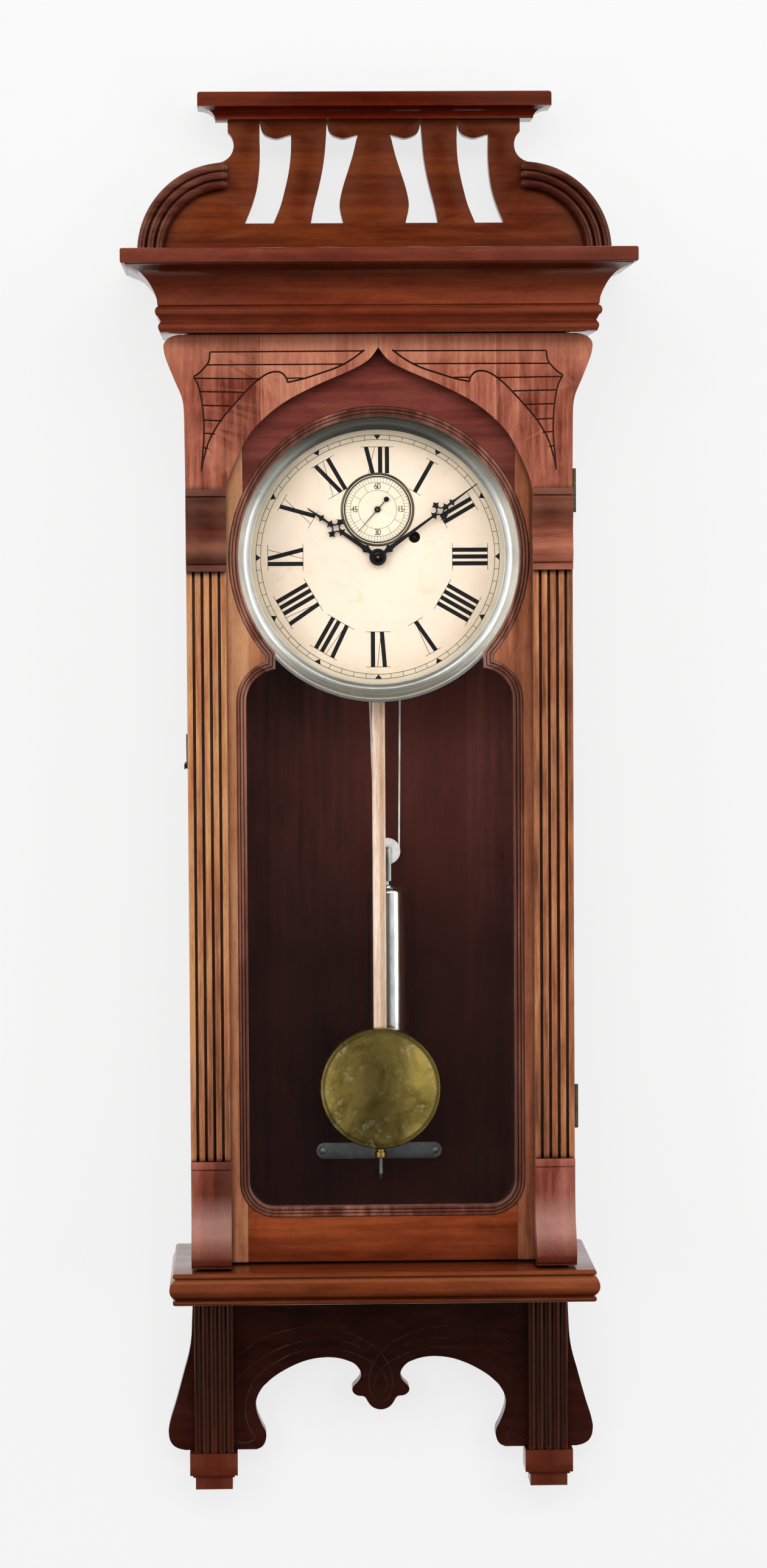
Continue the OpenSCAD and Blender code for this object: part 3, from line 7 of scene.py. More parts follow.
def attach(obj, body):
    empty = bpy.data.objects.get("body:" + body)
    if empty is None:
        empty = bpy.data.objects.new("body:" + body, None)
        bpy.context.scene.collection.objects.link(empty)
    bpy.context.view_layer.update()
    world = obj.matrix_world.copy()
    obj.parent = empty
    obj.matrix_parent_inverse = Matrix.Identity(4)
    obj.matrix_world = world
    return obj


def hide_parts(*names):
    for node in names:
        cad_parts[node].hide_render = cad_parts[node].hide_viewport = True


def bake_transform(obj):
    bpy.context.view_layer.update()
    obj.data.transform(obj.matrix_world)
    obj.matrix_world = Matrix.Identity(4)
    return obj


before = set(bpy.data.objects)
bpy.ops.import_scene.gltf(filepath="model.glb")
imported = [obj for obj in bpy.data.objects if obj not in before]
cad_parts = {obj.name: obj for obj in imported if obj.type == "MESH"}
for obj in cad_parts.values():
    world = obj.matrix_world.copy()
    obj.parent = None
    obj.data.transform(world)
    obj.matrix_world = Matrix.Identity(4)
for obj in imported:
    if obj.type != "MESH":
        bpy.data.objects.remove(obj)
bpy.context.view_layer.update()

# Case boards. The back, sides and top of the case are flat walnut boards, stained a dull dark
# brown inside. The back is three boards glued edge to edge, and the one behind the pendulum has
# kept a redder colour.
BACK_JOINTS = (-0.022, 0.089)
SAME_PLACE, CORNER = 0.000002, radians(38)


def linear(hex_colour):
    """An sRGB hex colour in the linear values that Blender works in."""
    parts = [int(hex_colour[i:i + 2], 16) / 255 for i in (1, 3, 5)]
    return tuple(c / 12.92 if c <= 0.04045 else ((c + 0.055) / 1.055) ** 2.4 for c in parts) + (1,)


def add(tree, kind, links=None, stops=None, **settings):
    """Adds one shader node. An input takes a value, a hex colour or another node's output. Where
    inputs have numbers, Mix takes its share at 0 and its colours at 6 and 7, and MapRange takes
    the range it reads at 1 and 2 and the one it gives at 3 and 4."""
    node = tree.nodes.new("ShaderNode" + kind)
    for key, value in settings.items():
        setattr(node, key, value)
    for key, value in (links or {}).items():
        if isinstance(value, bpy.types.NodeSocket):
            tree.links.new(value, node.inputs[key])
        else:
            node.inputs[key].default_value = linear(value) if isinstance(value, str) else value
    if stops:
        ramp = node.color_ramp.elements
        while len(ramp) < len(stops):
            ramp.new(0.5)
        for element, (place, colour) in zip(ramp, stops):
            element.position, element.color = place, linear(colour)
    return node


def new_finish(name):
    """An empty material and its node tree."""
    finish = bpy.data.materials.new(name)
    finish.use_nodes = True
    finish.node_tree.nodes.clear()
    return finish, finish.node_tree


def varnished_wood(name, dark, mid, light, grain="z", gloss=0.21, mottle=0.25, streak=0.5,
                   dirt_and_shade="#140806", worn=0.35, bare=None, deep=0.8, wide=1.0, vary=1.1, painted_side_light=0.0,
                   band=None, painted_light_and_shade=(), joint=None, ior=1.45):
    """Walnut under old spirit varnish: long streaks with the grain, cloudy stain across it, corners
    and grooves darkened both by packed dust and polish and by painted shade, and a paler line where
    hands and dusters wore the edges. The varnish has gone amber, so what it mirrors is amber too.
    Each painted light or shade is a height, how near it its painted tone is full and how far off it
    is gone, that colour and its share; a band is its two edges across and its colour; the painted
    side light makes the left side paler, as if lit more, or below nought the right."""
    finish, tree = new_finish(name)
    place = add(tree, "TexCoord").outputs["Object"]
    turn = {"z": (0, 0, 0), "x": (0, pi / 2, 0)}[grain]
    turned = add(tree, "Mapping", {"Vector": place, "Rotation": turn}).outputs[0]
    # Millimetres across the grain, and a fourteenth of that along it: a board's wide tones are
    # 48 mm across and the streaks in them 5.5 mm.
    along = add(tree, "Mapping", {"Vector": turned, "Scale": (1000, 1000, 1000 / 14)}).outputs[0]
    # Pores are 0.2 mm wide and 3 mm long in walnut; drawn at twice that, so that they show.
    fine = add(tree, "Mapping", {"Vector": turned, "Scale": (2500, 2500, 110)}).outputs[0]
    clouds = add(tree, "Mapping", {"Vector": turned, "Scale": (1000, 1000, 420)}).outputs[0]
    boards = add(tree, "TexNoise", {"Vector": along, "Scale": 1 / (48 * wide), "Detail": 3.0,
                                    "Roughness": 0.55, "Distortion": 0.4}).outputs[0]
    lines = add(tree, "TexNoise", {"Vector": along, "Scale": 1 / (5.5 * wide), "Detail": 5.0,
                                   "Roughness": 0.65, "Distortion": 0.2}).outputs[0]
    figure = add(tree, "TexWave", {"Vector": along, "Scale": 0.026 / wide, "Distortion": 7.0,
                                   "Detail": 3.0, "Detail Scale": 0.03, "Detail Roughness": 0.6},
                 wave_type="BANDS", bands_direction="X").outputs["Fac"]
    pores = add(tree, "TexNoise", {"Vector": fine, "Scale": 1.0, "Detail": 2.0}).outputs[0]
    stain = add(tree, "TexNoise", {"Vector": clouds, "Scale": 1 / 19, "Detail": 4.0,
                                   "Roughness": 0.6, "Distortion": 0.6}).outputs[0]
    level = add(tree, "Math", {0: boards, 1: vary, 2: 0.5 - vary / 2},
                operation="MULTIPLY_ADD").outputs[0]
    for part, weight in ((lines, streak), (figure, 0.07), (stain, mottle)):
        centred = add(tree, "Math", {0: part, 1: weight, 2: -weight / 2},
                      operation="MULTIPLY_ADD").outputs[0]
        level = add(tree, "Math", {0: level, 1: centred}, operation="ADD").outputs[0]
    across, _, up = add(tree, "SeparateXYZ", {"Vector": place}).outputs
    # Painted light: one side is made paler, as if the lamps lit it more; the door's stiles are 0.17
    # m out.
    level = add(tree, "Math", {0: across, 1: -painted_side_light / 0.17, 2: level},
                operation="MULTIPLY_ADD").outputs[0]
    if joint:
        # Two boards glued edge to edge at this distance from the middle, the outer one darker.
        out = add(tree, "Math", {0: across}, operation="ABSOLUTE").outputs[0]
        outer = add(tree, "MapRange", {"Value": out, 1: joint - 0.0002, 2: joint + 0.0002,
                                       3: 0.06, 4: -0.12}).outputs[0]
        level = add(tree, "Math", {0: level, 1: outer}, operation="ADD").outputs[0]
    tones = [(0.22, dark), (0.5, mid), (0.8, light)]
    wood = add(tree, "ValToRGB", {"Fac": level}, tones).outputs[0]
    if band:
        # One board, or stripe, of another colour, with edges 1.2 mm soft.
        *edges, other = band
        begun, ended = [add(tree, "MapRange", {"Value": across, 1: edge - 0.0006,
                                               2: edge + 0.0006}) for edge in edges]
        within = add(tree, "Math", {0: begun.outputs[0], 1: ended.outputs[0]},
                     operation="SUBTRACT").outputs[0]
        share = add(tree, "Math", {0: within, 1: 0.65}, operation="MULTIPLY").outputs[0]
        wood = add(tree, "Mix", {0: share, 6: wood, 7: other}, data_type="RGBA").outputs[2]
    # Painted light and shade: each entry paints the wood darker or paler about one height, standing
    # in for a shadow or a highlight.
    for height, near, far, stained, amount in painted_light_and_shade:
        off = add(tree, "Math", {0: up, 1: height}, operation="SUBTRACT").outputs[0]
        off = add(tree, "Math", {0: off}, operation="ABSOLUTE").outputs[0]
        share = add(tree, "MapRange", {"Value": off, 1: near, 2: far, 3: amount, 4: 0.0}).outputs[0]
        wood = add(tree, "Mix", {0: share, 6: wood, 7: stained}, data_type="RGBA").outputs[2]
    if joint:
        # A pale line of glue and filler, a millimetre wide.
        gap = add(tree, "Math", {0: out, 1: joint, 2: 0.0005}, operation="COMPARE").outputs[0]
        glue = add(tree, "Math", {0: gap, 1: 0.6}, operation="MULTIPLY").outputs[0]
        wood = add(tree, "Mix", {0: glue, 6: wood, 7: light}, data_type="RGBA").outputs[2]
    pore = add(tree, "MapRange", {"Value": pores, 1: 0.34, 2: 0.5, 3: 0.72, 4: 1.0}).outputs[0]
    wood = add(tree, "Mix", {0: 1.0, 6: wood, 7: pore}, data_type="RGBA",
               blend_type="MULTIPLY").outputs[2]
    # Painted shade, with some real dust: an ambient occlusion mask darkens corners and grooves
    # towards a near black, where little light reaches.
    corner = add(tree, "AmbientOcclusion", {"Distance": 0.007}, samples=6).outputs["AO"]
    dirt_and_shade_mask = add(tree, "MapRange", {"Value": corner, 1: 0.25, 2: 0.85, 3: deep, 4: 0.0}).outputs[0]
    edge = add(tree, "NewGeometry").outputs["Pointiness"]
    rubbed = add(tree, "MapRange", {"Value": edge, 1: 0.515, 2: 0.6, 4: worn}).outputs[0]
    patchy = add(tree, "Math", {0: rubbed, 1: stain}, operation="MULTIPLY").outputs[0]
    wood = add(tree, "Mix", {0: patchy, 6: wood, 7: bare or light}, data_type="RGBA").outputs[2]
    wood = add(tree, "Mix", {0: dirt_and_shade_mask, 6: wood, 7: dirt_and_shade}, data_type="RGBA").outputs[2]
    rough = add(tree, "MapRange", {"Value": stain, 1: 0.3, 2: 0.7, 3: gloss - 0.07,
                                   4: gloss + 0.03}).outputs[0]
    relief = add(tree, "Bump", {"Height": pores, "Distance": 0.00008, "Strength": 0.5}).outputs[0]
    relief = add(tree, "Bump", {"Height": lines, "Distance": 0.00012, "Strength": 0.35,
                                "Normal": relief}).outputs[0]
    shader = add(tree, "BsdfPrincipled", {"Base Color": wood, "Roughness": rough, "IOR": ior,
                                          "Specular Tint": "#ffbc9b", "Normal": relief}).outputs[0]
    add(tree, "OutputMaterial", {"Surface": shader})
    return finish


def only(piece=None):
    """Selects one object, or none, and makes it the active one."""
    if bpy.context.mode != "OBJECT":
        bpy.ops.object.mode_set(mode="OBJECT")
    bpy.ops.object.select_all(action="DESELECT")
    if piece:
        piece.select_set(True)
        bpy.context.view_layer.objects.active = piece


def opened(piece):
    """Opens a piece's mesh to be edited, with all of it selected."""
    only(piece)
    bpy.ops.object.mode_set(mode="EDIT")
    bpy.ops.mesh.select_all(action="SELECT")


def applied(piece, kind, **settings):
    """Puts a modifier on a piece and applies it."""
    only(piece)
    step = piece.modifiers.new(kind.lower(), kind)
    for key, value in settings.items():
        setattr(step, key, value)
    bpy.ops.object.modifier_apply(modifier=step.name)


def settled(piece, body, finish, smooth=35):
    """Brings a piece's place into its mesh, smooths its faces where they meet at less than so
    many degrees, and gives it a finish and a body."""
    only(piece)
    bpy.ops.object.transform_apply(location=True, rotation=True, scale=True)
    bpy.ops.object.shade_smooth_by_angle(angle=radians(smooth))
    if len(piece.data.materials) < 2:
        piece.data.materials.clear()
        piece.data.materials.append(finish)
    piece.data.materials[0] = finish
    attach(piece, body)


def placed(name, data):
    """Makes an object of a mesh, curve, camera or lamp and puts it in the scene."""
    thing = bpy.data.objects.new(name, data)
    bpy.context.collection.objects.link(thing)
    return thing


def copied(node, name):
    """A copy of a solid of the part with its loose triangles joined into whole faces."""
    piece = placed(name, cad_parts[node].data.copy())
    only(piece)
    if piece.data.has_custom_normals:
        bpy.ops.mesh.customdata_custom_splitnormals_clear()
    opened(piece)
    bpy.ops.mesh.remove_doubles(threshold=SAME_PLACE)
    bpy.ops.object.mode_set(mode="OBJECT")
    return piece


def eased(node, body, finish, width=0.5, rounds=2, cut=None):
    """The part's own solid with its corners taken off by a width in millimetres, as sandpaper and
    handling leave them, after any cut that is made in it first."""
    piece = copied(node, node + "_finished")
    if cut:
        cut(piece)
    applied(piece, "BEVEL", width=width / 1000, segments=rounds, limit_method="ANGLE",
            angle_limit=CORNER)
    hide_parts(node)
    settled(piece, body, finish)


def dress(finish, *nodes):
    """Gives solids of the part their finish."""
    for node in nodes:
        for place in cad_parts[node].material_slots:
            place.material = finish


# Thin stain without varnish: flatter than the outside, with painted shade making it darker towards
# the bottom of the case and painted light making its right side paler.
inside = varnished_wood("walnut_stained_inside", "#371d19", "#5e332f", "#7d443c", gloss=0.45,
                        ior=1.25, painted_side_light=-0.2, worn=0.1, band=(*BACK_JOINTS, "#66302a"),
                        painted_light_and_shade=[(-1.1, 0.4, 0.72, "#080505", 0.87)])
outside = varnished_wood("walnut_varnished_sides", "#2c100a", "#5e2716", "#8a4326", gloss=0.2)
dress(inside, "back_board", "top_board")
eased("side_boards", "case", outside, width=0.8)

# Hanger. A steel plate screwed to the back, with a keyhole that takes the wall hook; rubbed bright
# in patches and dull between. The screws that hold it and the beat plate have turned heads.


def bare_metal(name, dark, light, rough=0.3, patch=30.0, grain=0.12, axis=(1, 1, 1), spots=None,
               painted_shade_heights=(), haze=0.0):
    """Bare metal: a tone that clouds over patches of the given size in millimetres, and the fine
    lines of its last rubbing, whose direction axis gives by squeezing the pattern. Spots are blots
    of one colour; each band of painted shade gives the height where it starts, the one where it is
    full, its colour and its share; haze is how much of the metal an oxide film that scatters light
    hides."""
    finish, tree = new_finish(name)
    place = add(tree, "TexCoord").outputs["Object"]
    cloud = add(tree, "TexNoise", {"Vector": place, "Scale": 1000 / patch, "Detail": 5.0,
                                   "Roughness": 0.62, "Distortion": 0.5}).outputs[0]
    squeezed = add(tree, "Mapping", {"Vector": place, "Scale": axis}).outputs[0]
    rubbing = add(tree, "TexNoise", {"Vector": squeezed, "Scale": 1400.0, "Detail": 2.0}).outputs[0]
    colour = add(tree, "ValToRGB", {"Fac": cloud}, [(0.32, dark), (0.68, light)]).outputs[0]
    if spots:
        blot = add(tree, "TexNoise", {"Vector": place, "Scale": 95.0, "Detail": 6.0,
                                      "Roughness": 0.7}).outputs[0]
        mask = add(tree, "MapRange", {"Value": blot, 1: 0.56, 2: 0.66, 4: 0.75}).outputs[0]
        colour = add(tree, "Mix", {0: mask, 6: colour, 7: spots}, data_type="RGBA").outputs[2]
    # Painted shade: the metal is painted darker above or below the heights given, standing in for
    # shade and dark reflections.
    for start, full, shade_tone, amount in painted_shade_heights:
        up = add(tree, "SeparateXYZ", {"Vector": place}).outputs[2]
        share = add(tree, "MapRange", {"Value": up, 1: start, 2: full, 4: amount}).outputs[0]
        colour = add(tree, "Mix", {0: share, 6: colour, 7: shade_tone}, data_type="RGBA").outputs[2]
    # Painted shade, with some real dust: an ambient occlusion mask darkens the metal towards near
    # black in corners and hollows.
    corner = add(tree, "AmbientOcclusion", {"Distance": 0.004}, samples=4).outputs["AO"]
    dirt_and_shade_mask = add(tree, "MapRange", {"Value": corner, 1: 0.3, 2: 0.8, 3: 0.55, 4: 0.0}).outputs[0]
    colour = add(tree, "Mix", {0: dirt_and_shade_mask, 6: colour, 7: "#15110c"}, data_type="RGBA").outputs[2]
    level = add(tree, "MapRange", {"Value": cloud, 1: 0.3, 2: 0.7, 3: rough + 0.12,
                                   4: rough}).outputs[0]
    relief = add(tree, "Bump", {"Height": rubbing, "Distance": 0.00004,
                                "Strength": grain}).outputs[0]
    shader = add(tree, "BsdfPrincipled", {"Base Color": colour, "Metallic": 1.0 - haze,
                                          "Roughness": level, "Normal": relief}).outputs[0]
    add(tree, "OutputMaterial", {"Surface": shader})
    return finish


steel = bare_metal("steel_rubbed", "#6d6f70", "#b4b6b5", rough=0.32)
eased("hanger_plate", "case", steel, width=0.3)
dress(steel, "screws")

# Cornice. A thick slab with a long moulding under it, cove above and two beads below, run with
# planes from one length of walnut and mitred at the corners. Its stain is the redder brown.
slab_wood = varnished_wood("walnut_cornice_slab", "#42170f", "#692c20", "#8e4632", grain="x")
# The moulding has painted shade darkening the top of its cove, under the slab.
cove_wood = varnished_wood("walnut_cornice_moulding", "#45160a", "#732e1a", "#994a2d",
                           grain="x", gloss=0.18, mottle=0.32,
                           painted_light_and_shade=[(-0.036, 0.006, 0.026, "#2c0c05", 0.6)])
eased("cornice_slab", "case", slab_wood, width=1.2, rounds=3)
eased("cornice_moulding", "case", cove_wood)

# Crest. A fretted board with four slots stands on the cornice, with a moulded cap nailed on top
# and a reeded quarter arch planted on each shoulder. Each reed ends in a small rounded lobe.
SHOULDER_X, SHOULDER_Z, ARCH_DEPTH = 0.1433, -0.013, 0.05388
REED_R, REED_RINGS = 0.004116, (0.0826, 0.0742, 0.0658)
LOBE_OUT, LOBE_IN, LOBE_DOWN, LOBE_SHAPE = 0.0012, 0.0006, 0.0002, (0.75, 0.95, 0.98)
# The crest board has painted shade darkening it towards the top, under the cap.
crest_wood = varnished_wood("walnut_crest", "#3e1409", "#662914", "#90461f", grain="x",
                            painted_light_and_shade=[(0.15, 0.01, 0.11, "#2a100a", 0.65)])
cap_wood = varnished_wood("walnut_crest_cap", "#2e0902", "#4d1508", "#73240e", grain="x",
                          gloss=0.18)
arch_wood = varnished_wood("walnut_crest_arches", "#2c110c", "#4f241a", "#83503f", grain="x",
                           gloss=0.17, worn=0.6)
eased("crest_board", "case", crest_wood, width=0.9)
eased("crest_cap", "case", cap_wood, width=0.7)
eased("crest_arches", "case", arch_wood, width=0.4)


def joined(pieces):
    """Makes one piece of several."""
    only(pieces[0])
    for piece in pieces:
        piece.select_set(True)
    bpy.ops.object.join()
    return bpy.context.object


lobes = []
for side in (-1, 1):
    for reed in REED_RINGS:
        only()
        bpy.ops.mesh.primitive_uv_sphere_add(segments=20, ring_count=12, radius=REED_R, location=(
            side * (SHOULDER_X + LOBE_OUT), -ARCH_DEPTH + LOBE_IN, SHOULDER_Z + reed - LOBE_DOWN))
        lobe = bpy.context.object
        lobe.scale = LOBE_SHAPE
        lobes.append(lobe)
reed_ends = joined(lobes)
reed_ends.name = "crest_reed_lobes"
settled(reed_ends, "case", arch_wood, smooth=60)

# Ledge and apron. The ledge is a moulded shelf of three half rounds under the case. The apron
# hangs below it, fretted into two arches and a pendant, with lines cut by a small V tool that
# follow the arches and cross in a knot over the pendant. Fluted strips cover its ends.
APRON_FRONT = -0.022
APRON_LINES = {
    "outer": [(-141, -1095.8), (-130.8, -1088), (-118.5, -1080.3), (-102.8, -1073.7),
              (-84.9, -1069.7), (-69.3, -1068.5), (-52.5, -1069.8), (-35.8, -1073.3),
              (-22.4, -1078.6), (-10.1, -1085.5), (-0.4, -1094.1), (6.4, -1103.7),
              (10.5, -1113.3), (11.7, -1121.1), (11.2, -1128.9), (9.2, -1135.9), (5.3, -1141.4),
              (0, -1143.7)],
    "middle": [(-144.5, -1124.5), (-137.8, -1115.6), (-127.6, -1105.5), (-115.3, -1096.7),
               (-100.7, -1089.5), (-85, -1084.1), (-67.1, -1080.9), (-49.2, -1080.5),
               (-33.6, -1083.5), (-21.3, -1088.2)],
    "inner": [(-123.7, -1177.8), (-129.8, -1168.7), (-133.1, -1158.5), (-133.8, -1147.2),
              (-132.3, -1138.2), (-128.9, -1128.1), (-123.3, -1118), (-115.4, -1110.8),
              (-103, -1102.5), (-87.3, -1094.7), (-69.4, -1090.4), (-52.6, -1089.7),
              (-35.9, -1092), (-22.5, -1096.6), (-11.3, -1102.4), (-5.5, -1106),
              (0.1, -1111.6), (3.9, -1117.1), (6.2, -1123.4), (6.2, -1129.6), (3.8, -1133.5),
              (0, -1135)],
    "corner": [(-146.1, -1179.8), (-139.4, -1182.2), (-131.6, -1182.3), (-124.3, -1179)],
}
# Half of the apron's edge, from its top corner round a foot and an arch to the pendant's tip.
APRON_EDGE = [(185, -1018), (186, -1057), (188.2, -1086.9), (195.3, -1114.9), (202.7, -1141.9),
              (209.2, -1163.9), (210.1, -1172.1), (207.2, -1182.7), (201.3, -1187.4),
              (193.5, -1189.5), (123, -1189.5), (117.4, -1186.5), (114, -1179.5), (114, -1172.5),
              (117.4, -1165.4), (120.8, -1157.5), (123.2, -1149.5), (123.4, -1141),
              (117.8, -1128.8), (112.1, -1122.8), (105.7, -1117.4), (93.6, -1109.9),
              (81.5, -1104.2), (69.5, -1100.4), (57.4, -1098.7), (47.8, -1098.7), (39.4, -1100),
              (32.1, -1102.3), (26.7, -1104.8), (22.6, -1108.7), (20.2, -1112.7), (19.6, -1116),
              (20.3, -1119.4), (23.6, -1124.2), (26.9, -1127.5), (28.2, -1130.2), (27.8, -1133.2),
              (25.7, -1135.6), (22.1, -1137.3), (17.3, -1137.9), (15.2, -1139.4), (12.8, -1143.5),
              (9.5, -1147.6), (5.9, -1149.9), (0, -1151.2)]
APRON_CORNERS, CUT_WIDE = (0, 9, 10), 1.3


def drawn(name, points, depth, closed=False, sharp=()):
    """A smooth line through points given in millimetres of x and z, at one depth."""
    path = bpy.data.curves.new(name, "CURVE")
    path.dimensions = "2D" if closed else "3D"
    path.resolution_u = 5
    line = path.splines.new("BEZIER")
    line.use_cyclic_u = closed
    line.bezier_points.add(len(points) - 1)
    for place, (knot, (x, z)) in enumerate(zip(line.bezier_points, points)):
        knot.co = (x / 1000, z / 1000, 0)
        knot.handle_left_type = knot.handle_right_type = "VECTOR" if place in sharp else "AUTO"
    piece = placed(name, path)
    piece.rotation_euler, piece.location = (pi / 2, 0, 0), (0, depth, 0)
    return piece


def meshed(piece):
    """Turns a drawn line with a thickness into a closed mesh."""
    only(piece)
    bpy.ops.object.convert(target="MESH")
    piece = bpy.context.object
    opened(piece)
    bpy.ops.mesh.remove_doubles(threshold=SAME_PLACE)
    bpy.ops.mesh.normals_make_consistent(inside=False)
    bpy.ops.object.mode_set(mode="OBJECT")
    return piece


# Old polish and dust packed in the cuts: nearly black, and dull beside the varnish.
old_dirt = varnished_wood("dirt_in_carving", "#140705", "#230d08", "#3d1a12", gloss=0.5, worn=0.0)


def v_cut(piece, points, front, width, side=1):
    """Runs a V tool along points on a piece's flat front, given with its width in millimetres.
    The cut keeps the dirt and old polish that a cloth never reaches."""
    if len(piece.data.materials) < 2:
        piece.data.materials.clear()
        piece.data.materials.append(old_dirt)
        piece.data.materials.append(old_dirt)
    tool = drawn("v_tool", [(side * x, z) for x, z in points], front)
    tool.data.bevel_depth, tool.data.bevel_resolution = width / 2000, 0
    tool.data.use_fill_caps = True
    tool = meshed(tool)
    tool.data.materials.append(old_dirt)
    tool.data.materials.append(old_dirt)
    for face in tool.data.polygons:
        face.material_index = 1
    applied(piece, "BOOLEAN", operation="DIFFERENCE", object=tool, solver="EXACT")
    bpy.data.objects.remove(tool)


def carve_apron(board):
    """Cuts every line of the apron on both halves."""
    for side in (1, -1):
        for line in APRON_LINES.values():
            v_cut(board, line, APRON_FRONT, CUT_WIDE, side)


# The ledge has a painted highlight along its upper round and painted shade along its lower one.
ledge_wood = varnished_wood("walnut_ledge", "#4b1d0c", "#793519", "#a9582f", grain="x",
                            gloss=0.17, worn=0.5,
                            painted_light_and_shade=[(-0.9935, 0.0015, 0.004, "#a8603c", 0.6),
                                   (-1.018, 0.003, 0.009, "#35120a", 0.55)])
# The apron has painted shade darkening its top, under the ledge.
apron_wood = varnished_wood("walnut_apron", "#1f0b0a", "#371410", "#5a231b", grain="x", gloss=0.26,
                            painted_light_and_shade=[(-1.04, 0.01, 0.11, "#0e0707", 0.85)])
# The strips have painted shade darkening their top, under the ledge, and painted light making their
# feet paler.
strip_wood = varnished_wood("walnut_apron_strips", "#240c09", "#4a1a12", "#733022", gloss=0.23,
                            deep=1.4, dirt_and_shade="#0a0403",
                            painted_light_and_shade=[(-1.04, 0.08, 0.2, "#210d0a", 0.7),
                                   (-1.22, 0.028, 0.034, "#7a3620", 0.5)])
eased("ledge", "case", ledge_wood, width=0.6)
apron_outline = APRON_EDGE + [(-x, z) for x, z in APRON_EDGE[-2::-1]]
far_corners = tuple(len(apron_outline) - 1 - k for k in APRON_CORNERS)
apron = drawn("apron_board_finished", apron_outline, APRON_FRONT / 2, closed=True,
              sharp=APRON_CORNERS + far_corners)
apron.data.extrude, apron.data.fill_mode = -APRON_FRONT / 2, "BOTH"
apron = meshed(apron)
carve_apron(apron)
applied(apron, "BEVEL", width=0.0005, segments=2, limit_method="ANGLE", angle_limit=CORNER)
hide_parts("apron_board")
# Dust has settled in the cuts of the apron and shows paler than its dark wood.
apron.data.materials[1] = varnished_wood("dust_in_apron_cuts", "#1d1512", "#3d322b", "#6a5d50",
                                         gloss=0.6, worn=0.0, deep=0.2)
settled(apron, "case", apron_wood)
eased("apron_pilasters", "case", strip_wood)

# Movement. Two brass plates on pillars stand on an iron bracket behind the dial, with brass
# wheels, an iron drum and steel working parts between them. The brass was brushed and lacquered
# and has yellowed, the iron was blacked, and the small hinges and the pin have gone brown.
brass_plate = bare_metal("brass_brushed_plate", "#8a6a2c", "#c5a255", axis=(1, 1, 0.08))
brass_wheel = bare_metal("brass_turned_wheel", "#8f7032", "#caa95e", rough=0.24)
iron = bare_metal("iron_blacked_bracket", "#1c1c1d", "#38383a", rough=0.5)
eased("movement_bracket", "case", iron, width=0.4)
dress(iron, "drum")
dress(brass_plate, "back_plate", "front_plate", "pillars", "suspension_cock")
dress(brass_wheel, "centre_wheel", "cannon_pinion", "third_wheel", "escape_wheel", "minute_wheel",
      "hour_wheel", "great_wheel", "rating_nut")
dress(steel, "click", "anchor", "pendulum_fittings")
brass_old = bare_metal("brass_gone_brown", "#2b2418", "#5d5138", rough=0.42)
dress(brass_old, "case_hinges", "door_hinges", "catch_pin")

# Dial. A sheet iron pan in cream paint, pinned to the movement's front. The paint is a warm white
# in the middle, yellower inside the seconds circle, where oil reached it, and greyer and more tan
# towards the rim.
DIAL_X, DIAL_Z, DIAL_Y = 0.0, -0.308, -0.09
SECONDS_Z = -0.2622


def painted_dial(name):
    """Cream oil paint over a thick ground, rubbed dull and waxed: tanned by distance from the
    middle, with faint stains a few millimetres across, and a slightly uneven gloss."""
    finish, tree = new_finish(name)
    place = add(tree, "TexCoord").outputs["Object"]
    reach, small = [add(tree, "VectorMath", {0: place, 1: (DIAL_X, DIAL_Y, height)},
                        operation="DISTANCE").outputs["Value"] for height in (DIAL_Z, SECONDS_Z)]
    cloud = add(tree, "TexNoise", {"Vector": place, "Scale": 26.0, "Detail": 4.0,
                                   "Roughness": 0.6}).outputs[0]
    shift = add(tree, "Math", {0: cloud, 1: 0.05, 2: -0.025}, operation="MULTIPLY_ADD").outputs[0]
    worn = add(tree, "Math", {0: reach, 1: shift}, operation="ADD").outputs[0]
    tan = add(tree, "MapRange", {"Value": worn, 1: 0.092, 2: 0.128}).outputs[0]
    creams = [(0.0, "#f4e0ca"), (0.55, "#ebd7bc"), (1.0, "#d3c5aa")]
    paint = add(tree, "ValToRGB", {"Fac": tan}, creams).outputs[0]
    inner = add(tree, "MapRange", {"Value": small, 1: 0.03, 2: 0.052, 3: 0.75, 4: 0.0}).outputs[0]
    paint = add(tree, "Mix", {0: inner, 6: paint, 7: "#f3e7cc"}, data_type="RGBA").outputs[2]
    stain = add(tree, "TexNoise", {"Vector": place, "Scale": 60.0, "Detail": 6.0,
                                   "Roughness": 0.7, "Distortion": 0.8}).outputs[0]
    mark = add(tree, "MapRange", {"Value": stain, 1: 0.56, 2: 0.7, 4: 0.3}).outputs[0]
    paint = add(tree, "Mix", {0: mark, 6: paint, 7: "#cdb47e"}, data_type="RGBA").outputs[2]
    rough = add(tree, "MapRange", {"Value": cloud, 1: 0.3, 2: 0.7, 3: 0.34, 4: 0.5}).outputs[0]
    relief = add(tree, "Bump", {"Height": stain, "Distance": 0.0001, "Strength": 0.2}).outputs[0]
    shader = add(tree, "BsdfPrincipled", {"Base Color": paint, "Roughness": rough, "IOR": 1.5,
                                          "Normal": relief}).outputs[0]
    add(tree, "OutputMaterial", {"Surface": shader})
    return finish


eased("dial_plate", "case", painted_dial("cream_oil_paint"), width=0.3)

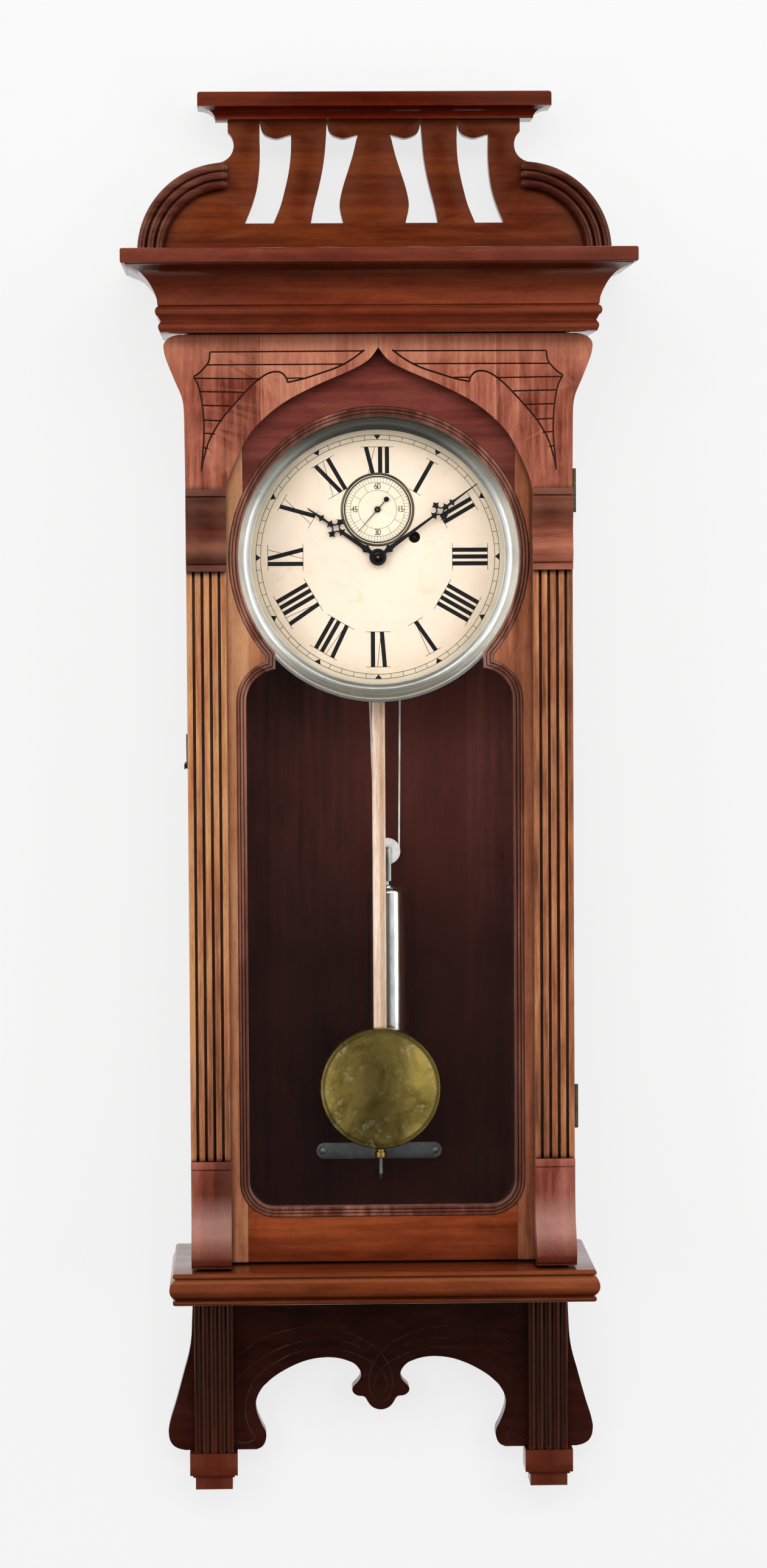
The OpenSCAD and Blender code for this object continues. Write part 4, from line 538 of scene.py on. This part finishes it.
# Dial print. Black varnish ink, too thin to feel: a minute ring with a triangle at each five
# minutes, Roman numerals whose feet point to the middle, and the small seconds circle.
PRINT_Y, TRIANGLE_Y, FIGURE_Y = DIAL_Y - 0.00008, DIAL_Y - 0.0001, DIAL_Y - 0.00011
MINUTE_RINGS, NUMERAL_FOOT, NUMERAL_HEAD = (0.113, 0.1175), 0.072, 0.106
TRIANGLE_R, TRIANGLE_OUT, TRIANGLE_WIDE = 0.003, 0.116, 1.35
SECONDS_INNER, SECONDS_TRACK, SECONDS_OUTER, SECONDS_EDGE = 0.0186, 0.0261, 0.0307, 0.0318
FIGURE_OUT, FIGURE_HIGH = 0.0222, 0.0072
BAR, BAR_STEP, BAR_IN, SERIF = 0.0041, 0.00655, 0.0018, 0.0032
HAIR, THIN, TICK = 0.00048, 0.0003, 0.00028
NUMERALS = ("XII", "I", "II", "III", "IIII", "V", "VI", "VII", "VIII", "IX", "X", "XI")
LETTER_WIDE = {"I": BAR_STEP, "V": 0.0104, "X": 0.0122}

ink, ink_nodes = new_finish("black_printing_ink")
speck = add(ink_nodes, "TexNoise", {"Vector": add(ink_nodes, "TexCoord").outputs["Object"],
                                    "Scale": 700.0, "Detail": 3.0}).outputs[0]
blacks = add(ink_nodes, "ValToRGB", {"Fac": speck}, [(0.3, "#040404"), (0.7, "#0b0b0a")]).outputs[0]
add(ink_nodes, "OutputMaterial", {"Surface": add(ink_nodes, "BsdfPrincipled", {
    "Base Color": blacks, "Roughness": 0.5, "Specular IOR Level": 0.25}).outputs[0]})


def stroke(start, end, width):
    """Adds a straight printed stroke between two points of x and z, in the mesh being edited."""
    (x0, z0), (x1, z1) = start, end
    middle = ((x0 + x1) / 2, PRINT_Y, (z0 + z1) / 2)
    bpy.ops.mesh.primitive_plane_add(size=1, location=middle, rotation=(pi / 2, 0, 0))
    bpy.ops.transform.resize(value=(hypot(x1 - x0, z1 - z0), 1, width), center_override=middle)
    bpy.ops.transform.rotate(value=atan2(z1 - z0, x1 - x0), orient_axis="Y",
                             center_override=middle)


def ring(radius, width, height, steps=160):
    """Adds a thin printed ring round a height of z, in the mesh being edited."""
    middle = (DIAL_X, PRINT_Y, height)
    bpy.ops.mesh.primitive_circle_add(vertices=steps, radius=radius - width / 2, location=middle,
                                      rotation=(pi / 2, 0, 0))
    bpy.ops.mesh.extrude_edges_move()
    bpy.ops.transform.resize(value=((radius + width / 2) / (radius - width / 2),) * 3,
                             center_override=middle)


def dial_point(hour, across, out):
    """The x and z of a point across and outwards from the middle, at an hour of the dial."""
    turn = hour * pi / 6
    return (DIAL_X + out * sin(turn) + across * cos(turn),
            DIAL_Z + out * cos(turn) - across * sin(turn))


def letter_strokes(letter, left, right):
    """The places across of a letter's strokes at foot and head, and their widths."""
    middle = (left + right) / 2
    return {"I": [(middle, middle, BAR)],
            "V": [(middle - 0.0002, left + 0.0004, BAR), (middle + 0.0006, right + 0.0006, HAIR)],
            "X": [(right, left, BAR), (left, right, HAIR)]}[letter]


# An empty mesh that all the print but the seconds figures is drawn in.
only()
bpy.ops.mesh.primitive_plane_add(size=0.001, location=(0, PRINT_Y, DIAL_Z),
                                 rotation=(pi / 2, 0, 0))
figures = bpy.context.object
figures.name = "dial_print"
opened(figures)
bpy.ops.mesh.delete(type="VERT")
for radius in MINUTE_RINGS:
    ring(radius, HAIR, DIAL_Z)
for radius, width in ((SECONDS_TRACK, THIN), (SECONDS_OUTER, THIN), (SECONDS_INNER, THIN),
                      (SECONDS_EDGE, 4 * THIN)):
    ring(radius, width, SECONDS_Z, steps=96)
for hour, numeral in enumerate(NUMERALS):
    # The twelve starts a quarter of the way up, at the seconds rim, with no line at its foot.
    hidden, lines = (0.25, (NUMERAL_HEAD,)) if hour == 0 else (0, (NUMERAL_FOOT, NUMERAL_HEAD))
    lowest = NUMERAL_FOOT + hidden * (NUMERAL_HEAD - NUMERAL_FOOT)
    wide = sum(LETTER_WIDE[letter] for letter in numeral)
    left = -wide / 2
    for letter in numeral:
        right = left + LETTER_WIDE[letter]
        for foot, head, width in letter_strokes(letter, left + BAR_IN, right - BAR_IN):
            stroke(dial_point(hour, foot + hidden * (head - foot), lowest),
                   dial_point(hour, head, NUMERAL_HEAD), width)
        left = right
    half = wide / 2 + SERIF
    for out in lines:
        stroke(dial_point(hour, -half, out), dial_point(hour, half, out), HAIR)
for minute in range(60):
    stroke(*[dial_point(minute / 5, 0, out) for out in MINUTE_RINGS], HAIR)
    turn = minute * pi / 30
    inner = SECONDS_TRACK if minute % 5 else SECONDS_INNER
    stroke((inner * sin(turn), SECONDS_Z + inner * cos(turn)),
           (SECONDS_OUTER * sin(turn), SECONDS_Z + SECONDS_OUTER * cos(turn)), TICK)
for hour in range(12):
    x, z = dial_point(hour, 0, TRIANGLE_OUT)
    bpy.ops.mesh.primitive_circle_add(vertices=3, radius=TRIANGLE_R, fill_type="NGON",
                                      location=(x, TRIANGLE_Y, z), rotation=(pi / 2, 0, 0))
    bpy.ops.transform.resize(value=(TRIANGLE_WIDE, 1, 1), center_override=(x, PRINT_Y, z))
    bpy.ops.transform.rotate(value=-hour * pi / 6 - pi, orient_axis="Y",
                             center_override=(x, PRINT_Y, z))
bpy.ops.object.mode_set(mode="OBJECT")
settled(figures, "case", ink)
for text, turn in (("60", 0), ("15", pi / 2), ("30", pi), ("45", 3 * pi / 2)):
    only()
    place = (FIGURE_OUT * sin(turn), FIGURE_Y, SECONDS_Z + FIGURE_OUT * cos(turn))
    bpy.ops.object.text_add(location=place, rotation=(pi / 2, 0, 0))
    number = bpy.context.object
    number.data.body, number.data.size = text, FIGURE_HIGH
    number.data.align_x, number.data.align_y = "CENTER", "CENTER"
    number.data.space_character = 0.9
    bpy.ops.object.convert(target="MESH")
    number.scale = (0.95, 1.15, 1)
    number.name = "seconds_figure_" + text
    settled(number, "case", ink)

# Bezel and seconds rim. The bezel is a rolled ring of nickelled brass, as the door's hook is: still
# polished at its sides, with painted shade darkening it at the top and the bottom, and a little
# hazy all round. The seconds rim is a turned steel ring under dark brown lacquer.
nickel = bare_metal("nickel_polished", "#c2c4bd", "#e6e6e0", rough=0.16, patch=60, grain=0.01,
                    haze=0.45, painted_shade_heights=[(DIAL_Z + 0.045, DIAL_Z + 0.115, "#4b4a42", 0.95),
                                       (DIAL_Z - 0.07, DIAL_Z - 0.12, "#67655a", 0.8)])
rim_metal = bare_metal("steel_lacquered_brown", "#3a3228", "#7a6d58", rough=0.34)
eased("dial_bezel", "case", nickel, width=0.4)
eased("seconds_rim", "case", rim_metal, width=0.3)
dress(nickel, "door_hook")

# Hands. Cut with a saw from thin steel, filed, and blacked over a flame, which leaves a soft
# black skin; the hour and minute hands have a pierced cross near the tip. The nut over them is a
# turned steel dome, blacked and polished.
hand_black = bare_metal("steel_blacked", "#08080a", "#1d1e22", rough=0.36, haze=0.4)
dress(bare_metal("steel_blacked_polished", "#101012", "#26272b", rough=0.2), "hand_nut")
for hand, body in (("minute_hand", "centre"), ("hour_hand", "hour"), ("seconds_hand", "escape")):
    eased(hand, body, hand_black, width=0.15, rounds=1)

# Pendulum. A flat stick of pale wood with rounded edges, browner in a stripe right of its middle,
# carries a heavy lens of cast brass that was polished and has since tarnished in clouds and
# fingermarks.
stick_wood = varnished_wood("pendulum_stick_wood", "#c29e87", "#f2d6c0", "#f3f3e3", gloss=0.25,
                            mottle=0.3, dirt_and_shade="#5a3a2a", wide=0.4,
                            band=(0.0004, 0.0052, "#b58a60"))
bob_brass = bare_metal("brass_tarnished_bob", "#4b3b14", "#b9a355", rough=0.22, patch=50,
                       grain=0.02, spots="#b9ab82")
eased("pendulum_stick", "pendulum", stick_wood, width=1.5, rounds=3)
eased("bob", "bob", bob_brass)

# Beat plate. A strip of blued steel with round ends, screwed to the back board behind the bob.
# The blue has rubbed off to a soft grey.
blued = bare_metal("steel_blued_plate", "#5b6060", "#8b8f8e", rough=0.42)
eased("beat_plate", "case", blued, width=0.3)

# Weight and pulley. A turned brass tube filled with lead, nickelled and polished, hangs from a
# stirrup and a turned pulley. The tube mirrors both sides of the room; the pulley's face is tin,
# which has gone dull white all over.
weight_metal = bare_metal("nickelled_weight", "#aeb0ad", "#e8e9e6", rough=0.14, patch=40,
                          grain=0.02)
eased("weight", "weight", weight_metal, width=0.4)
pulley_white = bare_metal("tinned_pulley", "#dcdad4", "#f4f3ef", rough=0.5, patch=9, haze=0.85)
eased("pulley", "pulley", pulley_white, width=0.2)

# Cord. A 2 mm line of three twisted plies of white cotton, dulled with handling. One end hangs
# from the movement, the line goes under the pulley and winds in close turns on the drum.
CORD_R, PLY_R, TWIST, CORD_STEP, ROUND_STEPS = 0.001, 0.00056, 0.0062, 0.0011, 24
STRANDS = {"cord_left": ((-0.010, -0.352), (-0.0026, -0.596)),
           "cord_right": ((0.024021, -0.289007), (0.0206, -0.596))}
CORD_Y = -0.0355
BIGHT_X, BIGHT_Z, BIGHT_R = 0.009, -0.596, 0.0116
WIND_X, WIND_Z, WIND_R, WIND_TURNS, WIND_STEP = 0.035421, -0.289007, 0.0114, 4, 0.0025

cord_white, cord_nodes = new_finish("cotton_cord_white")
cord_place = add(cord_nodes, "TexCoord").outputs["Object"]
# Threads of 0.3 mm, with grey where the line has picked up oil.
threads, oiled = [add(cord_nodes, "TexNoise", {
    "Vector": cord_place, "Scale": scale, "Detail": 3.0}).outputs[0] for scale in (1500.0, 45.0)]
whites = [(0.3, "#cfc9bd"), (0.6, "#efece4")]
cord_tone = add(cord_nodes, "ValToRGB", {"Fac": oiled}, whites).outputs[0]
fuzz = add(cord_nodes, "Bump", {"Height": threads, "Distance": 0.0002, "Strength": 0.6}).outputs[0]
add(cord_nodes, "OutputMaterial", {"Surface": add(cord_nodes, "BsdfPrincipled", {
    "Base Color": cord_tone, "Roughness": 0.85, "Sheen Weight": 0.3, "Normal": fuzz}).outputs[0]})


def twisted(name, route, body=None):
    """Lays three plies round a route of points, each with a turn in 6.2 mm, and joins them."""
    lengths = [0.0]
    for a, b in zip(route, route[1:]):
        lengths.append(lengths[-1] + (Vector(b) - Vector(a)).length)
    count = max(8, int(lengths[-1] / CORD_STEP))
    plies = []
    for ply in range(3):
        path = bpy.data.curves.new(name, "CURVE")
        path.dimensions = "3D"
        path.bevel_depth, path.bevel_resolution, path.use_fill_caps = PLY_R, 1, True
        line = path.splines.new("POLY")
        line.points.add(count)
        step = 0
        for k in range(count + 1):
            gone = lengths[-1] * k / count
            while step < len(route) - 2 and lengths[step + 1] < gone:
                step += 1
            a, b = Vector(route[step]), Vector(route[step + 1])
            at = a.lerp(b, (gone - lengths[step]) / max(1e-9, lengths[step + 1] - lengths[step]))
            ahead = (b - a).normalized()
            side = ahead.cross(Vector((0, 1, 0))).normalized()
            other = ahead.cross(side)
            turn = 2 * pi * (gone / TWIST + ply / 3)
            spot = at + (CORD_R - PLY_R) * (cos(turn) * side + sin(turn) * other)
            line.points[k].co = (*spot, 1)
        only(placed(name, path))
        bpy.ops.object.convert(target="MESH")
        plies.append(bpy.context.object)
    cord = joined(plies)
    bpy.ops.object.shade_smooth()
    cord.data.materials.clear()
    cord.data.materials.append(cord_white)
    if body:
        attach(cord, body)
    return cord


for name, (top, low) in STRANDS.items():
    start, end = (top[0], CORD_Y, top[1]), (low[0], CORD_Y, low[1])
    strand = twisted(name + "_twisted", [start, end])
    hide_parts(name)
    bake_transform(strand)
under = []
for k in range(ROUND_STEPS + 1):
    a = k * pi / ROUND_STEPS
    under.append((BIGHT_X + BIGHT_R * cos(a), CORD_Y, BIGHT_Z - BIGHT_R * sin(a)))
bight = twisted("cord_bight_twisted", under, "weight")
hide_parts("cord_bight")
coils = []
for k in range(WIND_TURNS * ROUND_STEPS + 1):
    a = pi + 2 * pi * k / ROUND_STEPS
    coils.append((WIND_X + WIND_R * cos(a), CORD_Y + WIND_STEP * (WIND_TURNS - k / ROUND_STEPS),
                  WIND_Z + WIND_R * sin(a)))
winding = twisted("cord_winding_twisted", coils, "barrel")
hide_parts("cord_winding")

# Door frame. Two stiles of lighter walnut with the cusps of the opening cut on them, and two
# rails tenoned between, the top one much redder. The edges inside are rounded over by hand.
# The stiles have painted light making the left one paler.
stile_wood = varnished_wood("walnut_stiles", "#6c3520", "#b06b4b", "#dca276", mottle=0.3,
                            painted_side_light=0.1, deep=1.0)
top_rail_wood = varnished_wood("walnut_top_rail", "#461915", "#6b302b", "#8e493e", grain="x",
                               mottle=0.35)
low_rail_wood = varnished_wood("walnut_bottom_rail", "#4b1a0e", "#81381c", "#aa562e", grain="x",
                               gloss=0.19, mottle=0.3)
reed_wood = varnished_wood("walnut_reeded_moulding", "#38170f", "#69372c", "#ad7463", gloss=0.17,
                           worn=0.5, bare="#c99c8c")
eased("door_stiles", "door", stile_wood, width=1.0, rounds=3)
eased("door_top_rail", "door", top_rail_wood, width=0.6)
eased("door_bottom_rail", "door", low_rail_wood, width=0.6)
eased("opening_moulding", "door", reed_wood, width=0.3)

# Glass. One pane of thin drawn sheet, cut to the keyhole shape and held from behind by strips
# bradded into the rebate. It is clear and colourless, and throws no shadow worth seeing.
pane, pane_nodes = new_finish("sheet_glass_clear")
clear = add(pane_nodes, "BsdfPrincipled", {"Base Color": "#ffffff", "Roughness": 0.0, "IOR": 1.5,
                                           "Transmission Weight": 1.0}).outputs[0]
open_air = add(pane_nodes, "BsdfTransparent").outputs[0]
shadow = add(pane_nodes, "LightPath").outputs["Is Shadow Ray"]
add(pane_nodes, "OutputMaterial", {"Surface": add(pane_nodes, "MixShader", {
    0: shadow, 1: clear, 2: open_air}).outputs[0]})
dress(pane, "door_glass")
dress(inside, "glass_strips")

# Spandrels. Two boards of figured walnut are glued edge to edge on each side and sawn to an ogee
# that meets in the middle. A V tool cut a wing of level lines and its outline into the face.
SPANDREL_FRONT, BOARD_JOINT, OUTLINE_WIDE, LINE_WIDE = -0.150, 0.1114, 1.7, 1.4
WING_EDGE = [(-159.6, -112.7), (-160.9, -121.9), (-165.3, -127.8), (-170.3, -132.7),
             (-175.3, -136.1)]
WING_SIDE = [(-175.3, -136.1), (-171.7, -142.6), (-169.1, -151.5), (-167.2, -163.3),
             (-166.1, -176.1), (-166, -192.9), (-167.4, -210.7), (-168.5, -225.5)]
WING_SWEEP = [(-168.5, -225.5), (-166, -212.7), (-161.5, -197.9), (-155.9, -187), (-148.9, -176.2),
              (-138.9, -164.4), (-127.9, -152.3), (-118, -142.4), (-110, -136.2), (-104, -132.9),
              (-98.1, -131.7), (-92.9, -132.3), (-89.2, -135.1), (-87.1, -138.3), (-86.3, -141.8)]
WING_TAIL = [(-86.3, -141.8), (-72.4, -138.7), (-56.5, -133.7), (-38.7, -127.5), (-24.8, -120),
             (-13.2, -111.4)]
WING_LINES = [((-159.6, -112.7), (-14, -112.4)), ((-161.9, -124.9), (-31.1, -124.7)),
              ((-174.3, -137.4), (-111.6, -138.3)), ((-87.2, -137.9), (-71.4, -137.7)),
              ((-169.4, -150.1), (-127.5, -150.9)), ((-167, -163.1), (-137.9, -163.9)),
              ((-165.9, -177.1), (-148.5, -177.8)), ((-165.8, -189.6), (-155.3, -190.2)),
              ((-166.5, -203.2), (-161.6, -203.8))]


def carve_wings(boards):
    """Cuts the wing on the left spandrel and its mirror image on the right one."""
    for side in (1, -1):
        for line in (WING_EDGE, WING_SIDE, WING_SWEEP, WING_TAIL):
            v_cut(boards, line, SPANDREL_FRONT, OUTLINE_WIDE, side)
        for line in WING_LINES:
            v_cut(boards, line, SPANDREL_FRONT, LINE_WIDE, side)


# The spandrels have painted light making them paler along the top, under the cornice.
spandrel_wood = varnished_wood("walnut_figured_spandrels", "#6d2f22", "#b26550", "#df987a",
                               gloss=0.22, mottle=0.55, streak=0.7, dirt_and_shade="#2a0d08", wide=0.6,
                               vary=0.6, joint=BOARD_JOINT,
                               painted_light_and_shade=[(-0.098, 0.008, 0.04, "#cf8467", 0.5)])
eased("spandrels", "door", spandrel_wood, width=0.7, cut=carve_wings)

# Pilasters. On each stile a reeded capital, a strip with four flutes and a swelling foot block are
# glued and pinned. The swell of the block has a painted highlight, and its foot painted shade.
# The capitals have painted shade at the top, a painted highlight band across the swell, and painted
# light making the right one paler.
capital_wood = varnished_wood("walnut_capitals", "#42160e", "#7b3526", "#b96b52", grain="x",
                              gloss=0.17, worn=0.5, bare="#c9907a", painted_side_light=-0.25,
                              painted_light_and_shade=[(-0.252, 0.012, 0.042, "#3a130e", 0.75),
                                     (-0.298, 0.001, 0.01, "#b87a60", 0.25)])
# The fluted strips have painted light making the left one paler.
pilaster_wood = varnished_wood("walnut_pilasters", "#4f1d12", "#ab633e", "#dc9e69", gloss=0.19,
                               streak=1.2, deep=1.4, dirt_and_shade="#0d0504", worn=0.5, bare="#dba47e",
                               painted_side_light=0.12)
# The foot blocks have a painted highlight on the swell and painted shade at the bottom.
foot_wood = varnished_wood("walnut_foot_blocks", "#4a1c10", "#843f2f", "#ba7262", mottle=0.45,
                           worn=0.5,
                           painted_light_and_shade=[(-0.948, 0.006, 0.032, "#c3948a", 0.6),
                                  (-0.995, 0.018, 0.04, "#5a230c", 0.9)])
eased("capitals", "door", capital_wood)
eased("door_pilasters", "door", pilaster_wood)
eased("foot_blocks", "door", foot_wood, width=0.8)

# Camera. It stands 4.4 m away, a little left of the middle and level with the dial, and looks
# slightly down through a long lens. Its place, turns and lens were worked out from the clock's
# edges, the lens in pixels of the whole photograph.
YAW, PITCH, ROLL = radians(1.69973761), radians(-3.19997638), radians(-0.3457727)
STAND, LENS_PIXELS, HIGH_PIXELS, SENSOR = (-0.12334, -4.38871, -0.28678), 7317, 2576, 36
ahead = Vector((sin(YAW) * cos(PITCH), cos(YAW) * cos(PITCH), sin(PITCH)))
level_right = Vector((cos(YAW), -sin(YAW), 0))
level_up = level_right.cross(ahead)
right = level_right * cos(ROLL) + level_up * sin(ROLL)
up = level_up * cos(ROLL) - level_right * sin(ROLL)
eye = bpy.data.cameras.new("camera")
eye.lens, eye.sensor_width = LENS_PIXELS / HIGH_PIXELS * SENSOR, SENSOR
camera = placed("camera", eye)
camera.matrix_world = Matrix((right, up, -ahead)).transposed().to_4x4()
camera.location = STAND
bpy.context.scene.camera = camera

# Wall and floor. The clock hangs on a plain pale wall above a pale floor. Both look evenly lit,
# and keep the soft shadow of the case; from behind, the wall is clear.
STAGE_SIZE, WALL_BEHIND, FLOOR_Z = 14, 0.0006, -1.62


def backdrop(name, paint, glow, seen_by):
    """Matt white paint that also glows for the rays named, so that it looks even and keeps a soft
    shadow; its back is clear."""
    finish, tree = new_finish(name)
    rays = add(tree, "LightPath").outputs
    seen = rays["Is Camera Ray"]
    for ray in seen_by:
        seen = add(tree, "Math", {0: seen, 1: rays[ray]}, operation="MAXIMUM").outputs[0]
    share = add(tree, "Math", {0: seen, 1: glow}, operation="MULTIPLY").outputs[0]
    matt = add(tree, "BsdfDiffuse", {"Color": paint}).outputs[0]
    even = add(tree, "Emission", {"Color": "#fbfbfb"}).outputs[0]
    front = add(tree, "MixShader", {0: share, 1: matt, 2: even}).outputs[0]
    behind = add(tree, "NewGeometry").outputs["Backfacing"]
    void = add(tree, "BsdfTransparent").outputs[0]
    add(tree, "OutputMaterial", {"Surface": add(tree, "MixShader", {
        0: behind, 1: front, 2: void}).outputs[0]})
    return finish


only()
bpy.ops.mesh.primitive_plane_add(size=STAGE_SIZE, location=(0, WALL_BEHIND, 0),
                                 rotation=(pi / 2, 0, 0))
wall = bpy.context.object
wall.name = "wall"
wall.data.materials.append(backdrop("pale_wall_paint", "#fafafa", 0.8,
                                    ("Is Glossy Ray", "Is Transmission Ray")))
only()
bpy.ops.mesh.primitive_plane_add(size=STAGE_SIZE, location=(0, 0, FLOOR_Z))
floor = bpy.context.object
floor.name = "floor"
floor.scale = (1, 0.2, 1)
floor.data.materials.append(backdrop("pale_floor_paint", "#6e6e6e", 0.9,
                                     ("Is Transmission Ray",)))

# Light. Two large soft boxes stand left and right of the clock, a wide one hangs above, and the
# room fills the rest. The room is dark straight in front and above, so that glass and flat varnish
# stay deep, and bright at the sides, which is what the round metal mirrors.
LAMP_AIM = Vector((0, 0, -0.5))
for name, place, size, power in (("box_left", (-1.9, -1.8, 0.0), (0.9, 2.4), 21),
                                 ("box_right", (1.9, -1.8, 0.0), (0.9, 2.4), 21),
                                 ("box_above", (0.0, -3.0, 1.3), (2.6, 0.9), 41)):
    soft = bpy.data.lights.new(name, "AREA")
    soft.shape, soft.size, soft.size_y, soft.energy = "RECTANGLE", *size, power
    lamp = placed(name, soft)
    lamp.location = place
    lamp.visible_glossy = name != "box_above"
    lamp.rotation_euler = (LAMP_AIM - Vector(place)).to_track_quat("-Z", "Y").to_euler()

world = bpy.data.worlds.new("room")
bpy.context.scene.world = world
world.use_nodes = True
room = world.node_tree
room.nodes.clear()
toward = add(room, "SeparateXYZ", {"Vector": add(room, "TexCoord").outputs["Generated"]}).outputs
sideways = add(room, "Math", {0: toward[0]}, operation="ABSOLUTE").outputs[0]
walls = add(room, "MapRange", {"Value": sideways, 1: 0.1, 2: 0.3, 3: 0.03, 4: 1.0}).outputs[0]
ceiling = add(room, "MapRange", {"Value": toward[2], 1: 0.1, 2: 0.6, 3: 0.03, 4: 0.14}).outputs[0]
around = add(room, "Math", {0: walls, 1: ceiling}, operation="MAXIMUM").outputs[0]
kind = add(room, "LightPath").outputs
fill = add(room, "MapRange", {"Value": toward[2], 1: -0.4, 2: 0.1, 3: 0.1, 4: 0.37}).outputs[0]
diffuse, mirrored, plain = [add(room, "Background", {
    "Color": paint, "Strength": strength}).outputs[0] for paint, strength in (
        ("#ffffff", fill), ("#ffffff", around), ("#f8f8f8", 1.0))]
# A mirrored ray that leaves through the glass counts as mirrored, unless paint scattered it first.
scattered = add(room, "Math", {0: kind["Diffuse Depth"], 1: 1.0}, operation="MINIMUM").outputs[0]
clean = add(room, "Math", {0: 1.0, 1: scattered}, operation="SUBTRACT").outputs[0]
through = add(room, "Math", {0: kind["Is Transmission Ray"], 1: clean},
              operation="MULTIPLY").outputs[0]
mirror = add(room, "Math", {0: kind["Is Glossy Ray"], 1: through}, operation="MAXIMUM").outputs[0]
lit = add(room, "MixShader", {0: mirror, 1: diffuse, 2: mirrored}).outputs[0]
add(room, "OutputWorld", {"Surface": add(room, "MixShader", {
    0: kind["Is Camera Ray"], 1: lit, 2: plain}).outputs[0]})
bpy.context.scene.view_settings.view_transform = "Standard"
